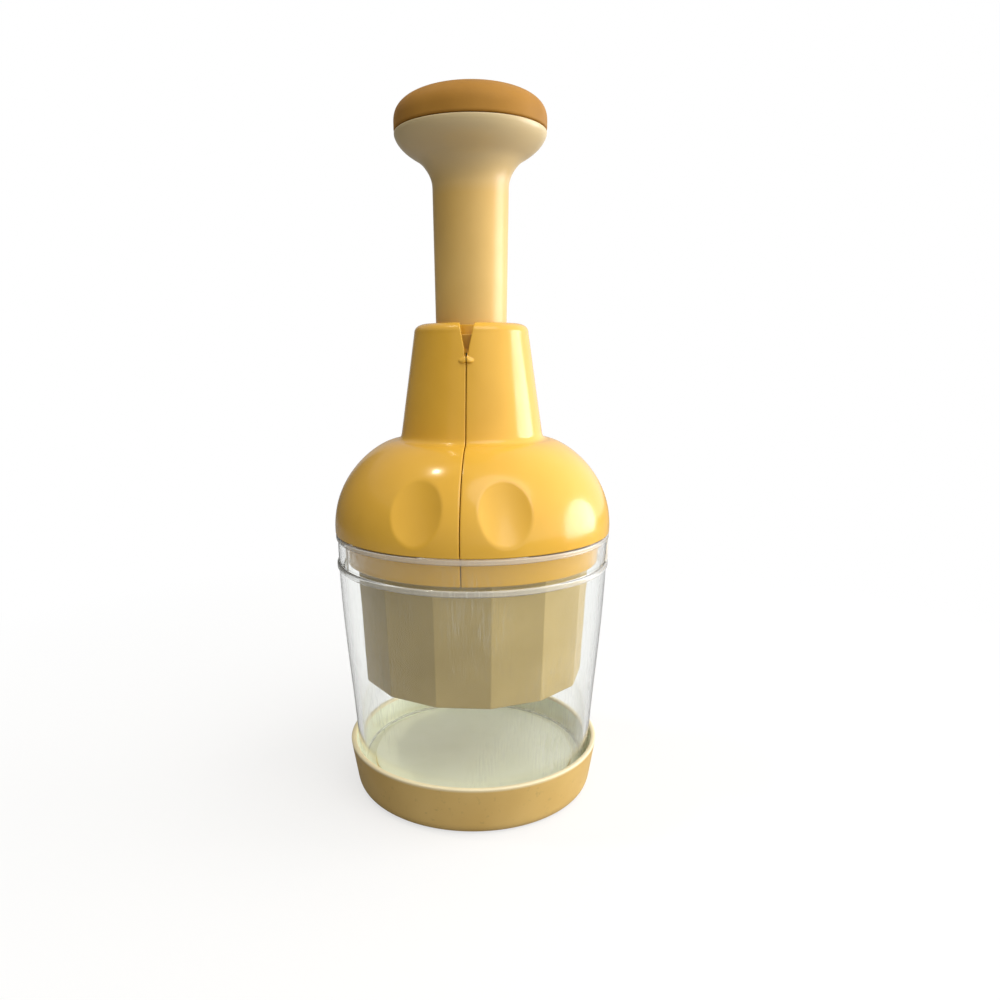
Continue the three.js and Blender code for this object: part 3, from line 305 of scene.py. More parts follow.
def linear(hex_colour):
    """Colour written as #rrggbb, in the scene's linear light."""
    channels = [int(hex_colour[i:i + 2], 16) / 255 for i in (1, 3, 5)]
    light = [c / 12.92 if c <= 0.04045 else ((c + 0.055) / 1.055) ** 2.4 for c in channels]
    return (*light, 1.0)


def feed(tree, node, inputs):
    """Each socket named is set to its value, or linked to another node's output."""
    for socket, value in inputs.items():
        if isinstance(value, bpy.types.NodeSocket):
            tree.links.new(value, node.inputs[socket])
        else:
            node.inputs[socket].default_value = value


def add_node(tree, kind, inputs=None, **settings):
    """A shader node of a kind, such as Math, with its inputs and other settings."""
    made = tree.nodes.new(f"ShaderNode{kind}")
    for key, value in settings.items():
        setattr(made, key, value)
    feed(tree, made, inputs or {})
    return made


def coordinates(tree, kind="Object"):
    return add_node(tree, "TexCoord").outputs[kind]


def noise(tree, size, detail, stretch=(1, 1, 1)):
    """Noise whose patches are about size millimetres across, stretched along each axis."""
    place = add_node(tree, "Mapping", {
        "Vector": coordinates(tree), "Scale": [1 / s for s in stretch]})
    made = add_node(tree, "TexNoise", {
        "Vector": place.outputs["Vector"], "Scale": 1 / (size * MM), "Detail": detail})
    return made.outputs["Fac"]


def along_axis(tree, vector, axis):
    return add_node(tree, "SeparateXYZ", {"Vector": vector}).outputs[axis]


def ranged(tree, value, low, high, from_low=0.3, from_high=0.7):
    """A value taken from one range to another, held at its ends."""
    made = add_node(tree, "MapRange", {
        "Value": value, "From Min": from_low, "From Max": from_high, "To Min": low, "To Max": high})
    return made.outputs["Result"]


def mixed(tree, factor, first, second):
    """A colour between two, each one written or another node's."""
    made = add_node(tree, "Mix", {0: factor, 6: first, 7: second}, data_type="RGBA")
    return made.outputs[2]


def worked_out(tree, operation, first, second):
    return add_node(tree, "Math", {0: first, 1: second}, operation=operation).outputs["Value"]


def ray_is(tree, *two_kinds):
    """1 for rays of either kind, such as Camera or Transmission."""
    path = add_node(tree, "LightPath")
    return worked_out(tree, "MAXIMUM", *[path.outputs[f"Is {kind} Ray"] for kind in two_kinds])


def two_tone(tree, size, colour, other_colour):
    """Two close colours in soft patches."""
    return mixed(tree, ranged(tree, noise(tree, size, 3.0), 0, 1), linear(colour), linear(other_colour))


def bumped(tree, height, depth):
    """Normals of a surface that rises by a depth, in millimetres, where the height is 1."""
    bump = add_node(tree, "Bump", {"Height": height, "Distance": depth * MM, "Strength": 1.0})
    return bump.outputs["Normal"]


def show_mix(tree, factor, first, second):
    """A material's surface: the first shader, and the second where the factor is 1."""
    blend = add_node(tree, "MixShader", {0: factor, 1: first, 2: second})
    feed(tree, tree.nodes["Material Output"], {"Surface": blend.outputs["Shader"]})


def new_material(name):
    material = bpy.data.materials.new(name)
    material.use_nodes = True
    tree = material.node_tree
    return material, tree, tree.nodes["Principled BSDF"]


def moulded(name, colour, other_colour, roughness, patch, grain=0.5, grain_height=0.004,
            roughness_spread=0.05, specular=0.4, coat=0.0, coat_roughness=0.1, speck=None, painted_band=None):
    """Moulded plastic: two close colours in soft patches, uneven gloss and a fine grain; where given,
    specks, and a band of another colour by height that is painted light.
    """
    material, tree, shader = new_material(name)
    tint = two_tone(tree, patch, colour, other_colour)
    if speck:
        size, share, speck_colour = speck
        spots = ranged(tree, noise(tree, size, 4.0), 0, share, *SPECK_RANGE)
        tint = mixed(tree, spots, tint, linear(speck_colour))
    # Painted light: a band of another colour between two heights, paler where light falls or is
    # reflected
    if painted_band:
        low, high, painted_band_colour = painted_band
        height = along_axis(tree, coordinates(tree), "Z")
        tint = mixed(tree, ranged(tree, height, 0, 1, low * MM, high * MM), tint, linear(painted_band_colour))
    feed(tree, shader, {
        "Base Color": tint,
        "Roughness": ranged(tree, noise(tree, patch / 3, 3.0),
                            roughness - roughness_spread, roughness + roughness_spread),
        "Normal": bumped(tree, noise(tree, grain, 4.0), grain_height),
        "Specular IOR Level": specular,
        "Coat Weight": coat,
        "Coat Roughness": coat_roughness,
    })
    return material


def metal(name, colour, other_colour, roughness, stretch=(1, 1, 1), line=0.25, line_height=0.003,
          patch=9.0, dullest=1.3, glossiest=0.8):
    """Metal with drawing or brushing lines that run along the axis that stretch names."""
    material, tree, shader = new_material(name)
    lines = noise(tree, line, 3.0, stretch)
    feed(tree, shader, {
        "Metallic": 1.0,
        "Base Color": two_tone(tree, patch, colour, other_colour),
        "Roughness": ranged(tree, lines, roughness * glossiest, roughness * dullest),
        "Normal": bumped(tree, lines, line_height),
    })
    return material


def clear_plastic(name, clear_share, cloudy_share, scratch=0.6, smear=26.0, wave=9.0,
                  wave_height=0.01, roughness=0.015, cloudy_roughness=0.14):
    """Clear moulded plastic with faint upright scratches, clouded where light scatters in it."""
    material, tree, shader = new_material(name)
    scratches = ranged(tree, noise(tree, scratch, 3.0, (1, 1, 14)), 0, 1, *SCRATCH_RANGE)
    smears = ranged(tree, noise(tree, smear, 4.0, (1, 1, 2)), 0, 1, *SMEAR_RANGE)
    haze = worked_out(tree, "MULTIPLY", scratches, smears)
    feed(tree, shader, {
        "Base Color": linear("#fdfefd"),
        "IOR": 1.47,
        "Transmission Weight": ranged(tree, haze, clear_share, cloudy_share, 0, 1),
        "Roughness": ranged(tree, haze, roughness, cloudy_roughness, 0, 1),
        "Normal": bumped(tree, noise(tree, wave, 2.0, (1, 1, 2)), wave_height),
    })
    passes = add_node(tree, "BsdfTransparent", {"Color": linear("#fbfcfa")})
    show_mix(tree, ray_is(tree, "Shadow", "Diffuse"), shader.outputs["BSDF"], passes.outputs["BSDF"])
    return material


YELLOW = moulded("glossy_yellow", "#ebb744", "#e2ad3a", 0.2, patch=30, grain=0.9, grain_height=0.002,
                 coat=0.15, coat_roughness=0.05)
# Stem and knob are one cream moulding; the band from 216 to 228 mm pales and greys the knob's
# underside, a painted reflection of the neutral light from below
CREAM = moulded("stem_cream", "#e3bb6c", "#dab161", 0.34, patch=26, grain=0.7, coat=0.08,
                coat_roughness=0.2, painted_band=(216, 228, "#d9c293"))
# Tray cream with dark specks; the band from 18.3 to 19.5 mm pales the top of the lip, a painted
# highlight
TRAY_CREAM = moulded("tray_cream", "#e0bd76", "#d6b169", 0.36, patch=24, grain=0.6, specular=0.2,
                     speck=(2.2, 0.18, "#8a7448"), painted_band=(18.3, 19.5, "#f2e4bf"))
# Painted light: the tray's own cream plastic drawn much paler where light falls in through the clear
# cup, with specks
TRAY_PAINTED_LIGHT_INSIDE = moulded("tray_painted_light_inside", "#f6f8e4", "#eef0d8", 0.34, patch=18,
                     speck=(1.6, 0.12, "#a9a58a"))
TAN = moulded("cap_tan", "#b07e34", "#a1712b", 0.55, patch=14, grain=0.45, grain_height=0.008,
              roughness_spread=0.06, specular=0.15)
IVORY = moulded("guard_ivory", "#c0a86e", "#b69e64", 0.42, patch=16, specular=0.25)
FRAME_YELLOW = moulded("frame_yellow", "#d9a63f", "#cf9c36", 0.42, patch=20)
WHITE = moulded("hub_white", "#e9e2cf", "#e0d8c2", 0.42, patch=20)
BUSH_WHITE = moulded("bush_white", "#f0eee6", "#e6e3d8", 0.38, patch=8, grain=0.4)
STEEL = metal("plated_steel", "#c6c9cc", "#b9bcc0", 0.24)
PIN_STEEL = metal("pin_steel", "#756f64", "#686257", 0.42)
SPRING_STEEL = metal("spring_wire", "#b9bcbf", "#a9acb0", 0.28, line=0.2)
BLADE_STEEL = metal("blade_steel", "#cdd0d3", "#c0c3c7", 0.2, stretch=(6, 6, 0.4), line=0.18)
BRASS = metal("brass", "#c9a552", "#b8933f", 0.3)
CLEAR = clear_plastic("clear_cup", 1.0, 0.9)
# Clouded bead plastic: in part a frosted look, in part a painted highlight that whitens the beads, the
# rim's top and the foot
CLOUDY_WITH_PAINTED_HIGHLIGHT = clear_plastic("cloudy_bead_painted_highlight", 0.66, 0.5)

# Sizes that the frame gives
tray_high = span("base_tray")[1]
cup_low, cup_high = span("clear_cup")
half_low, half_high = span("housing_left")
head_low, head_high = span("head_frame")
bush_low, bush_high = span("guide_bush")
stem_low, stem_high = span("plunger_stem")
cap_high = span("palm_cap")[1]
guard_low, guard_high = span("blade_guard")
scraper_low, scraper_high = span("scraper_plate")
hub_low, hub_high = span("blade_hub")
blade_low, blade_high = span("blade_1")
spring_low, spring_high = span("return_spring")
shaft_low, shaft_high = span("drive_shaft")


# Tray: leaning wall, foot ring, moat for the cup and a raised chopping floor

TRAY_WALL = 2.0
TRAY_WALL_LEAN = 2.2
TRAY_EDGE_HEIGHT = 4.8
TRAY_FOOT_INSET = 5.8
TRAY_FOOT_WIDTH = 2.6
TRAY_FOOT_ROUND = 0.4
TRAY_SWEEP = 0.6
TRAY_FLOOR_Z = 7.9
MOAT_Z = 10.3
CHOPPING_Z = 12.1
CHOPPING_RADIUS = 39.8
# Inside faces between these heights that face in or up take the tray's painted light
PAINTED_LIGHT_FROM_Z = MOAT_Z - 0.5
PAINTED_LIGHT_RIM_DROP = 0.9
FACES_IN = -0.3
FACES_UP = 0.5


def make_tray():
    rim, top = tray_high.x, tray_high.z
    edge = rim - TRAY_WALL_LEAN
    foot = rim - TRAY_FOOT_INSET
    lean = TRAY_WALL_LEAN / (top - TRAY_EDGE_HEIGHT)
    moat_wall = edge + (MOAT_Z - TRAY_EDGE_HEIGHT) * lean - TRAY_WALL
    under = rounded([
        (0, TRAY_FLOOR_Z), (foot - TRAY_FOOT_WIDTH, TRAY_FLOOR_Z, 0.8),
        (foot - TRAY_FOOT_WIDTH, 0, 0.5), (foot - TRAY_FOOT_ROUND, 0),
    ])
    side = bezier([(foot, 0), (edge - TRAY_SWEEP, TRAY_SWEEP), (edge, TRAY_EDGE_HEIGHT)], 10)
    inside = rounded([
        (edge, TRAY_EDGE_HEIGHT), (rim, top, 0.85), (rim - TRAY_WALL, top, 0.85),
        (moat_wall, MOAT_Z, 0.9), (CHOPPING_RADIUS, MOAT_Z, 0.4),
        (CHOPPING_RADIUS, CHOPPING_Z, 0.7), (0, CHOPPING_Z),
    ], steps=5)

    # Faces inside the tray that face in or up get the second material: painted light for the light that
    # falls in through the clear cup
    def painted_light_faces(middle, normal):
        inward = normal.xy.dot(middle.xy.normalized()) < FACES_IN or normal.z > FACES_UP
        return inward and PAINTED_LIGHT_FROM_Z < middle.z < top - PAINTED_LIGHT_RIM_DROP

    bm = painted(turned(under + side + inside[1:], circle(WIDE_STEPS)), painted_light_faces)
    add_piece("tray_moulding", bm, [TRAY_CREAM, TRAY_PAINTED_LIGHT_INSIDE], "tray", ["base_tray"])


# Clear cup: bellied wall, and a collar between two beads that carries four catches

CUP_WALL = 1.9
CUP_WAIST_HEIGHT = 9.6
CUP_FOOT_SPREAD = 5.0
CUP_COLLAR_SPREAD = 4.1
CUP_BELLY = ((0.1, 0.25), (0.86, 0.6))
CUP_COLLAR_HEIGHT = 10.4
CUP_BEAD_REACH = 0.6
CUP_BEAD_SLOPE = 0.4
CUP_LEDGE_STEP = 0.05
CUP_RIM_DROP = 0.3
CUP_RIM_BEAD = 2.2
CUP_LEDGE_BEAD = 2.4
# Faces that take the clouded plastic: the beads out to this reach, plus the rim's top and the foot,
# whose whitening is a painted highlight
CLOUDY_REACH = 0.1
PAINTED_HIGHLIGHT_TOP = 0.2
PAINTED_HIGHLIGHT_FOOT = 0.6
CATCH_AZIMUTHS = [radians(a) for a in (-60, 84, 120, -96)]
CATCH_SPREAD = radians(9)
CATCH_STEPS = 12
CATCH_RISE = 5.2
CATCH_HEIGHT = 0.7
CATCH_REACH = 0.5
CATCH_LEAD = 0.25
CATCH_SINK = 0.1
CATCH_EDGE = 0.1
CATCH_CLEAR = 0.2
CATCH_STOP_HALF = 0.4

cup_collar = cup_high.x - CUP_BEAD_REACH
cup_ledge_top_z = cup_high.z - CUP_COLLAR_HEIGHT
cup_rim_bead_z = cup_high.z - CUP_RIM_BEAD


def make_cup():
    bead, low, top = cup_high.x, cup_low.z, cup_high.z
    waist = cup_collar - CUP_COLLAR_SPREAD
    foot = cup_collar - CUP_FOOT_SPREAD
    ledge = cup_ledge_top_z - CUP_LEDGE_BEAD
    belly = swept((waist, low + CUP_WAIST_HEIGHT), (cup_collar, ledge), CUP_BELLY, 24)
    wall = rounded([(foot - CUP_WALL, low), (foot, low, 0.5), belly[0]]) + belly[1:-1]
    collar = rounded([
        belly[-1],
        (cup_collar + CUP_LEDGE_STEP, ledge, 0.3), (bead, ledge + CUP_BEAD_SLOPE, 0.5),
        (bead, cup_ledge_top_z - CUP_BEAD_SLOPE, 0.5), (cup_collar, cup_ledge_top_z, 0.3),
        (cup_collar, cup_rim_bead_z, 0.3), (bead, cup_rim_bead_z + CUP_BEAD_SLOPE, 0.5),
        (bead, top - CUP_RIM_DROP, 0.6), (cup_collar - CUP_BEAD_SLOPE, top, 0.3),
        (cup_collar - CUP_WALL, top, 0.4),
        (cup_collar - CUP_WALL, ledge),
    ])[1:-1]
    inside = [(r - CUP_WALL, z) for r, z in reversed(belly)]

    # Beads, rim top and foot take the clouded plastic; on the rim top and the foot it is a painted
    # highlight line
    def bead_cloud_and_painted_highlight(middle, normal):
        on_bead = middle.xy.length > cup_collar + CLOUDY_REACH
        return on_bead or middle.z > top - PAINTED_HIGHLIGHT_TOP or middle.z < low + PAINTED_HIGHLIGHT_FOOT

    bm = painted(turned(wall + collar + inside, circle(WIDE_STEPS)), bead_cloud_and_painted_highlight)
    add_piece("cup_moulding", bm, [CLEAR, CLOUDY_WITH_PAINTED_HIGHLIGHT], "cup", ["clear_cup"])


def make_catch(number, azimuth):
    """Ramp on the cup's collar that climbs to a stop."""
    near, far = cup_collar - CATCH_SINK, cup_collar + CATCH_REACH
    rings = []
    for step in range(CATCH_STEPS + 1):
        share = step / CATCH_STEPS
        angle = azimuth + CATCH_SPREAD * (share - 0.5) - QUARTER
        z = cup_ledge_top_z + CATCH_CLEAR + CATCH_RISE * share * share
        out = cup_collar + CATCH_REACH * min(1, share / CATCH_LEAD)
        rings.append([
            (r * cos(angle), r * sin(angle), z + dz)
            for r, dz in (
                (near, 0), (out, CATCH_EDGE), (out, CATCH_HEIGHT - CATCH_EDGE), (near, CATCH_HEIGHT))
        ])
    stop_edge = CATCH_STOP_HALF - CATCH_EDGE
    stop = raised(rounded([
        (near, -CATCH_STOP_HALF), (far, -stop_edge, CATCH_EDGE),
        (far, stop_edge, CATCH_EDGE), (near, CATCH_STOP_HALF),
    ]), cup_ledge_top_z + TOUCH_GAP, cup_rim_bead_z + CATCH_CLEAR)
    stop = turned_about_z(stop, azimuth + CATCH_SPREAD * 0.5 - QUARTER)
    add_piece(f"cup_catch_{number}", combined(lofted(rings), add=[stop]), [CLOUDY_WITH_PAINTED_HIGHLIGHT], "cup")


# Housing halves, with their dimples, the notch in the neck and its brow

HOUSING_WALL = 1.9
HOUSING_SHARP = radians(50)
SEAM_HALF = 0.15
SEAM_ROUND = 0.22
SEAM_ROUND_MIDDLE = 0.07
BAND_TAPER = 1.1
DOME_OVERHANG = 3.0
DOME_EDGE_HEIGHT = 0.8
DOME_HEIGHT = 32.9
DOME_SWELL = ((-0.018, 0.675), (0.792, 1.06))
DOME_STEPS = 84
INNER_DOME_STEPS = 36
INNER_DOME_START = 0.5
NECK_TOP_RADIUS = 20.2
NECK_FOOT_RADIUS = 25.9
NECK_ROUND_REACH = 3.4
NECK_ROUND_HEIGHT = 3.1
NECK_ROUND = ((0, 0.8),)
NECK_FILLET = 2.5
NECK_ROW = 1.4
NECK_ROWS_DROP = 1.2
COLLAR_BORE = 16.5
COLLAR_TUCK = 0.1
COLLAR_THICKNESS = 3.4
NOTCH_FOOT_DROP = 10.6
NOTCH_FOOT_HALF = 0.7
NOTCH_EASE = 0.12
HALF_OPENS = radians(12)
NOTCH_STEP = 0.35
PIVOT_DROP = 11.4
DIMPLE_AZIMUTH = radians(17.5)
DIMPLE_HALF_WIDTH = 8.9
DIMPLE_HALF_LENGTH = 11.2
DIMPLE_DEPTH = 2.4
DIMPLE_RIM = 0.22
DIMPLE_HEIGHT_SHARE = 0.42
DIMPLE_INNER_GROWTH = 0.8
BROW_HALF_WIDTH = 2.4
BROW_HEIGHT = 2.0
BROW_DEPTH = 0.8
BROW_DROP = 0.3
BROW_LEAD = 0.3
BROW_RISE = 0.9
BROW_FALL = 0.4
BROW_ARCH = 0.45
BROW_ROW = 0.22
BROW_ROWS_BELOW = 4.5
BROW_ROWS_ABOVE = 1.2
DENSE_ANGLE = radians(34)
DENSE_STEPS = 50
COARSE_STEPS = 20
HINGE_PIN_RADIUS = 1.3
EYE_RADIUS = 3.0
EYE_THICKNESS = 1.0
EYE_WEB_HALF = 2.2
EYE_STEPS = 20
INNER_EYE_Y = 16.5
OUTER_EYE_Y = 17.8

dome_edge_radius = -half_low.x
neck_top_z = half_high.z
band_foot_z = half_low.z
dome_edge_z = cup_high.z + TOUCH_GAP
dome_lip_z = dome_edge_z + DOME_EDGE_HEIGHT
neck_foot_z = dome_edge_z + DOME_HEIGHT
notch_foot_z = neck_top_z - NOTCH_FOOT_DROP
pivot_z = neck_top_z - PIVOT_DROP
collar_z = neck_top_z - COLLAR_THICKNESS
band_top_radius = dome_edge_radius - DOME_OVERHANG
band_foot_radius = band_top_radius - BAND_TAPER
neck_shoulder_z = neck_top_z - NECK_ROUND_HEIGHT


def neck_radius(z):
    return mix(NECK_FOOT_RADIUS, NECK_TOP_RADIUS, (z - neck_foot_z) / (neck_shoulder_z - neck_foot_z))


def dome_curve(steps):
    return swept((dome_edge_radius, dome_lip_z), (NECK_FOOT_RADIUS, neck_foot_z), DOME_SWELL, steps)


def neck_rows():
    """Heights of the rows up the neck, closer together round the brow."""
    heights = []
    z = neck_foot_z + NECK_FILLET
    while z < neck_shoulder_z - NECK_ROWS_DROP:
        near_brow = notch_foot_z - BROW_ROWS_BELOW < z < notch_foot_z + BROW_ROWS_ABOVE
        z += BROW_ROW if near_brow else NECK_ROW
        heights.append(z)
    return heights


def outer_run():
    """Outside of a half in section, from the band's inner foot up to the collar's underside."""
    edge = rounded([
        (band_foot_radius - HOUSING_WALL, band_foot_z), (band_foot_radius, band_foot_z, 0.5),
        (band_top_radius, dome_edge_z, 0.15), (dome_edge_radius, dome_edge_z, 0.35),
        (dome_edge_radius, dome_lip_z),
    ])
    foot = Vector((NECK_FOOT_RADIUS, neck_foot_z))
    dome = [p for p in dome_curve(DOME_STEPS)[1:] if (Vector(p) - foot).length > NECK_FILLET]
    neck_start = (neck_radius(neck_foot_z + NECK_FILLET), neck_foot_z + NECK_FILLET)
    fillet = bezier([dome[-1], foot, neck_start], 6)[1:]
    neck = [(neck_radius(z), z) for z in neck_rows()]
    brim = (NECK_TOP_RADIUS - NECK_ROUND_REACH, neck_top_z)
    top = swept((NECK_TOP_RADIUS, neck_shoulder_z), brim, NECK_ROUND, 12)
    bore = rounded([brim, (COLLAR_BORE, neck_top_z, 0.2), (COLLAR_BORE, collar_z)])[1:]
    return edge + dome + fillet + neck + top + bore


def inner_run():
    """Inside of a half in section, from the band's foot up to the collar's underside."""
    edge_z = dome_lip_z + HOUSING_WALL
    inner_foot_z = neck_foot_z - HOUSING_WALL
    dome = inset(dome_curve(INNER_DOME_STEPS), HOUSING_WALL)
    return [
        (band_foot_radius - HOUSING_WALL, band_foot_z),
        (band_top_radius - HOUSING_WALL, dome_edge_z),
        (band_top_radius - HOUSING_WALL, dome_lip_z), (dome_edge_radius - HOUSING_WALL, edge_z),
        *[p for p in dome if edge_z + INNER_DOME_START < p[1] < inner_foot_z],
        (NECK_FOOT_RADIUS - HOUSING_WALL, inner_foot_z),
        (NECK_TOP_RADIUS - HOUSING_WALL + COLLAR_TUCK, collar_z), (COLLAR_BORE, collar_z),
    ]


def seam_half(z):
    """Half the width of the seam, or of the notch above it, at a height."""
    above = z - notch_foot_z
    if above <= -NOTCH_STEP:
        return SEAM_HALF
    if above <= 0:
        share = (above + NOTCH_STEP) / NOTCH_STEP
        return mix(SEAM_HALF, NOTCH_FOOT_HALF, share * share)
    return max(NOTCH_FOOT_HALF, (z - pivot_z) * tan(HALF_OPENS) + NOTCH_EASE)


def soft_max(value, width):
    """The value where it is well above 0, and 0 where it is well below, with a rounded knee."""
    if value <= -width:
        return 0.0
    if value >= width:
        return value
    return (value + width) ** 2 / (4 * width)


dimple_z = dome_edge_z + DOME_HEIGHT * DIMPLE_HEIGHT_SHARE
dimple_here = min(dome_curve(DOME_STEPS), key=lambda p: abs(p[1] - dimple_z))
dimple_slope = [Vector(p) for p in dome_curve(DOME_STEPS) if abs(p[1] - dimple_z) < DIMPLE_DEPTH]
dimple_along = (dimple_slope[-1] - dimple_slope[0]).normalized()


def dimple_frame(azimuth):
    """Centre of a dimple, and its directions across, along and out of the dome."""
    out = Vector((sin(azimuth), -cos(azimuth), 0))
    across = Vector((cos(azimuth), sin(azimuth), 0))
    along = out * dimple_along.x + Vector((0, 0, dimple_along.y))
    normal = out * dimple_along.y - Vector((0, 0, dimple_along.x))
    centre = out * dimple_here[0] + Vector((0, 0, dimple_here[1]))
    return centre, across, along, normal


def dimpled(point, frames, grow):
    """The point pressed in where it lies in a dimple, whose outline grows for the inner wall."""
    for centre, across, along, normal in frames:
        away = point - centre
        if away.length > 2 * DIMPLE_HALF_LENGTH:
            continue
        share = (away.dot(across) / (DIMPLE_HALF_WIDTH + grow)) ** 2
        share += (away.dot(along) / (DIMPLE_HALF_LENGTH + grow)) ** 2
        point = point - normal * soft_max(DIMPLE_DEPTH * (1 - share), DIMPLE_RIM)
    return point


def brow_height(from_seam, z):
    """How far the little brow under the notch stands out of the neck."""
    down = notch_foot_z - BROW_DROP - z - from_seam * BROW_ARCH
    if not -BROW_LEAD < down < BROW_HEIGHT or from_seam > BROW_HALF_WIDTH:
        return 0.0
    width_share = sqrt(1 - (from_seam / BROW_HALF_WIDTH) ** 2)
    rise = min(1.0, (down + BROW_LEAD) / BROW_RISE)
    fall = min(1.0, (BROW_HEIGHT * width_share - down) / BROW_FALL)
    return BROW_DEPTH * width_share * max(0.0, min(rise, fall))


def half_columns():
    """Columns across a half: distance from the seam's edge, drop at that edge, share of the rest."""
    dense = DENSE_ANGLE / QUARTER
    shares = [dense * i / DENSE_STEPS for i in range(1, DENSE_STEPS + 1)]
    shares += [mix(dense, 1, i / COARSE_STEPS) for i in range(1, COARSE_STEPS + 1)]
    edge = [(0.0, SEAM_ROUND, 0.0), (SEAM_ROUND_MIDDLE, SEAM_ROUND_MIDDLE, 0.0)]
    return edge + [(SEAM_ROUND, 0.0, share) for share in [0.0, *shares]]


def half_cells(r, z, along, outside):
    """Angle, radius and height of each point across a half, for one place of its section."""
    start = asin(seam_half(z) / r)
    cells = []
    for distance, drop, share in half_columns():
        angle = mix(start + distance / r, QUARTER, share)
        fallen = drop if outside else 0
        brow = brow_height((angle - start) * r, z) if outside else 0
        cells.append((angle, r - along.y * fallen + brow, z + along.x * fallen))
    return cells + [(pi - angle, out, up) for angle, out, up in reversed(cells[:-1])]


def stitch(bm, left, right):
    """Triangles between two runs of vertices that share their first and last ones."""
    i = j = 0
    while i < len(left) - 1 or j < len(right) - 1:
        step_left = j == len(right) - 1
        if not step_left and i < len(left) - 1:
            step_left = (left[i + 1].co - right[j].co).length < (left[i].co - right[j + 1].co).length
        if step_left:
            corners = (left[i], left[i + 1], right[j])
            i += 1
        else:
            corners = (left[i], right[j + 1], right[j])
            j += 1
        if len(set(corners)) == 3:
            bm.faces.new(corners)


def make_half_mesh():
    """Left half of the housing: a shell between two seam faces, pressed in at its dimples."""
    frames = [dimple_frame(a) for a in (-DIMPLE_AZIMUTH, pi + DIMPLE_AZIMUTH)]
    outer = outer_run()
    loop = [(p, True) for p in outer] + [(p, False) for p in reversed(inner_run()[1:-1])]
    bm = bmesh.new()
    rows = []
    for i, ((r, z), outside) in enumerate(loop):
        before, after = Vector(loop[i - 1][0]), Vector(loop[(i + 1) % len(loop)][0])
        row = []
        for angle, out, up in half_cells(r, z, (after - before).normalized(), outside):
            point = Vector((-out * sin(angle), -out * cos(angle), up))
            point = dimpled(point, frames, 0 if outside else HOUSING_WALL * DIMPLE_INNER_GROWTH)
            row.append(bm.verts.new(point * MM))
        rows.append(row)
    add_loops(bm, rows, closed_loops=False, closed_run=True)
    for column in (0, -1):
        edge = [row[column] for row in rows]
        left = edge[:len(outer)]
        stitch(bm, left, [left[0], *reversed(edge[len(outer):]), left[-1]])
    bmesh.ops.recalc_face_normals(bm, faces=bm.faces)
    return bm


def make_eye(low_y):
    """Hinge eye on a web that ends inside the neck's wall, on the left of the seam."""
    high_y = low_y + EYE_THICKNESS
    wall_radius = neck_radius(pivot_z) - HOUSING_WALL / 2
    reach = sqrt(wall_radius ** 2 - max(abs(low_y), abs(high_y)) ** 2)
    lean = asin(EYE_WEB_HALF / EYE_RADIUS)
    outline = [(-reach, EYE_WEB_HALF), (-reach, -EYE_WEB_HALF)]
    outline += arc(EYE_RADIUS, -pi + lean, pi - lean, EYE_STEPS)
    plate = thickened([(x, pivot_z + z) for x, z in outline], low_y, high_y)
    bore = rod(HINGE_PIN_RADIUS + TOUCH_GAP, low_y - OVERRUN, high_y + OVERRUN)
    return combined(plate, cut=[laid_along_y(bore, pivot_z)])


def make_half(side, angle):
    body = f"{side}_half"
    add_piece(f"housing_shell_{side}", turned_about_z(make_half_mesh(), angle), [YELLOW], body,
              [f"housing_{side}"], sharp=HOUSING_SHARP)
    for place, low_y in (("outer", -OUTER_EYE_Y - EYE_THICKNESS), ("inner", INNER_EYE_Y)):
        eye = turned_about_z(make_eye(low_y), angle)
        add_piece(f"hinge_eye_{side}_{place}", eye, [YELLOW], body)


def make_hinge_pin(place, side):
    near, far = bush_high.x + 2 * TOUCH_GAP, OUTER_EYE_Y + EYE_THICKNESS
    pin = rod(HINGE_PIN_RADIUS, *sorted((side * near, side * far)), edge=0.25)
    add_piece(f"pivot_pin_{place}", laid_along_y(pin, pivot_z), [PIN_STEEL], "head",
              [f"hinge_pin_{place}"])


# Plunger: stem, mushroom knob and palm cap

STEM_RADIUS = 12.9
STEM_BORE = STEM_RADIUS + TOUCH_GAP
STEM_FOOT_RADIUS = 12.3
STEM_WALL = 1.9
STEM_LIP_HEIGHT = 1.9
STEM_LIP_REACH = 13.6
KNOB_WALL = 2.1
FLARE_HEIGHT = 16.5
KNEE_OUT = 4.5
KNEE_DROP = 8.0
KNOB_FILLET = ((0, 0.5),)
KNOB_BOWL = ((0.88, 0.46),)
KNOB_EDGE = 0.5
WEB_DROP = 17.5
WEB_THICKNESS = 3.0
SOCKET_RADIUS = 5.6
SOCKET_DEPTH = 10.0
SPIGOT_RADIUS = 3.0
CAP_SIDE_HEIGHT = 2.7
CAP_CROWN = ((0, 0.42), (0.08, 0.95))
CAP_SHELL = 3.0
CAP_SPIGOT_DEPTH = 4.5
CAP_SPIGOT_WALL = 1.8

knob_radius, knob_top_z = stem_high.x, stem_high.z
web_top_z = knob_top_z - WEB_DROP
socket_top_z = web_top_z - WEB_THICKNESS
socket_foot_z = socket_top_z - SOCKET_DEPTH


def knob_flare():
    """Outside of the knob in section, from the stem up to its edge, with a soft knee."""
    knee = (STEM_RADIUS + KNEE_OUT, knob_top_z - KNEE_DROP)
    fillet = swept((STEM_RADIUS, knob_top_z - FLARE_HEIGHT), knee, KNOB_FILLET, 14)
    bowl = swept(knee, (knob_radius, knob_top_z - KNOB_EDGE), KNOB_BOWL, 18)
    return fillet[:-3] + bezier([fillet[-3], knee, bowl[2]], 6) + bowl[3:]


def knob_cavity():
    bore = knob_radius - KNOB_WALL
    return [p for p in inset(knob_flare(), KNOB_WALL) if p[1] > web_top_z + KNOB_WALL and p[0] < bore]


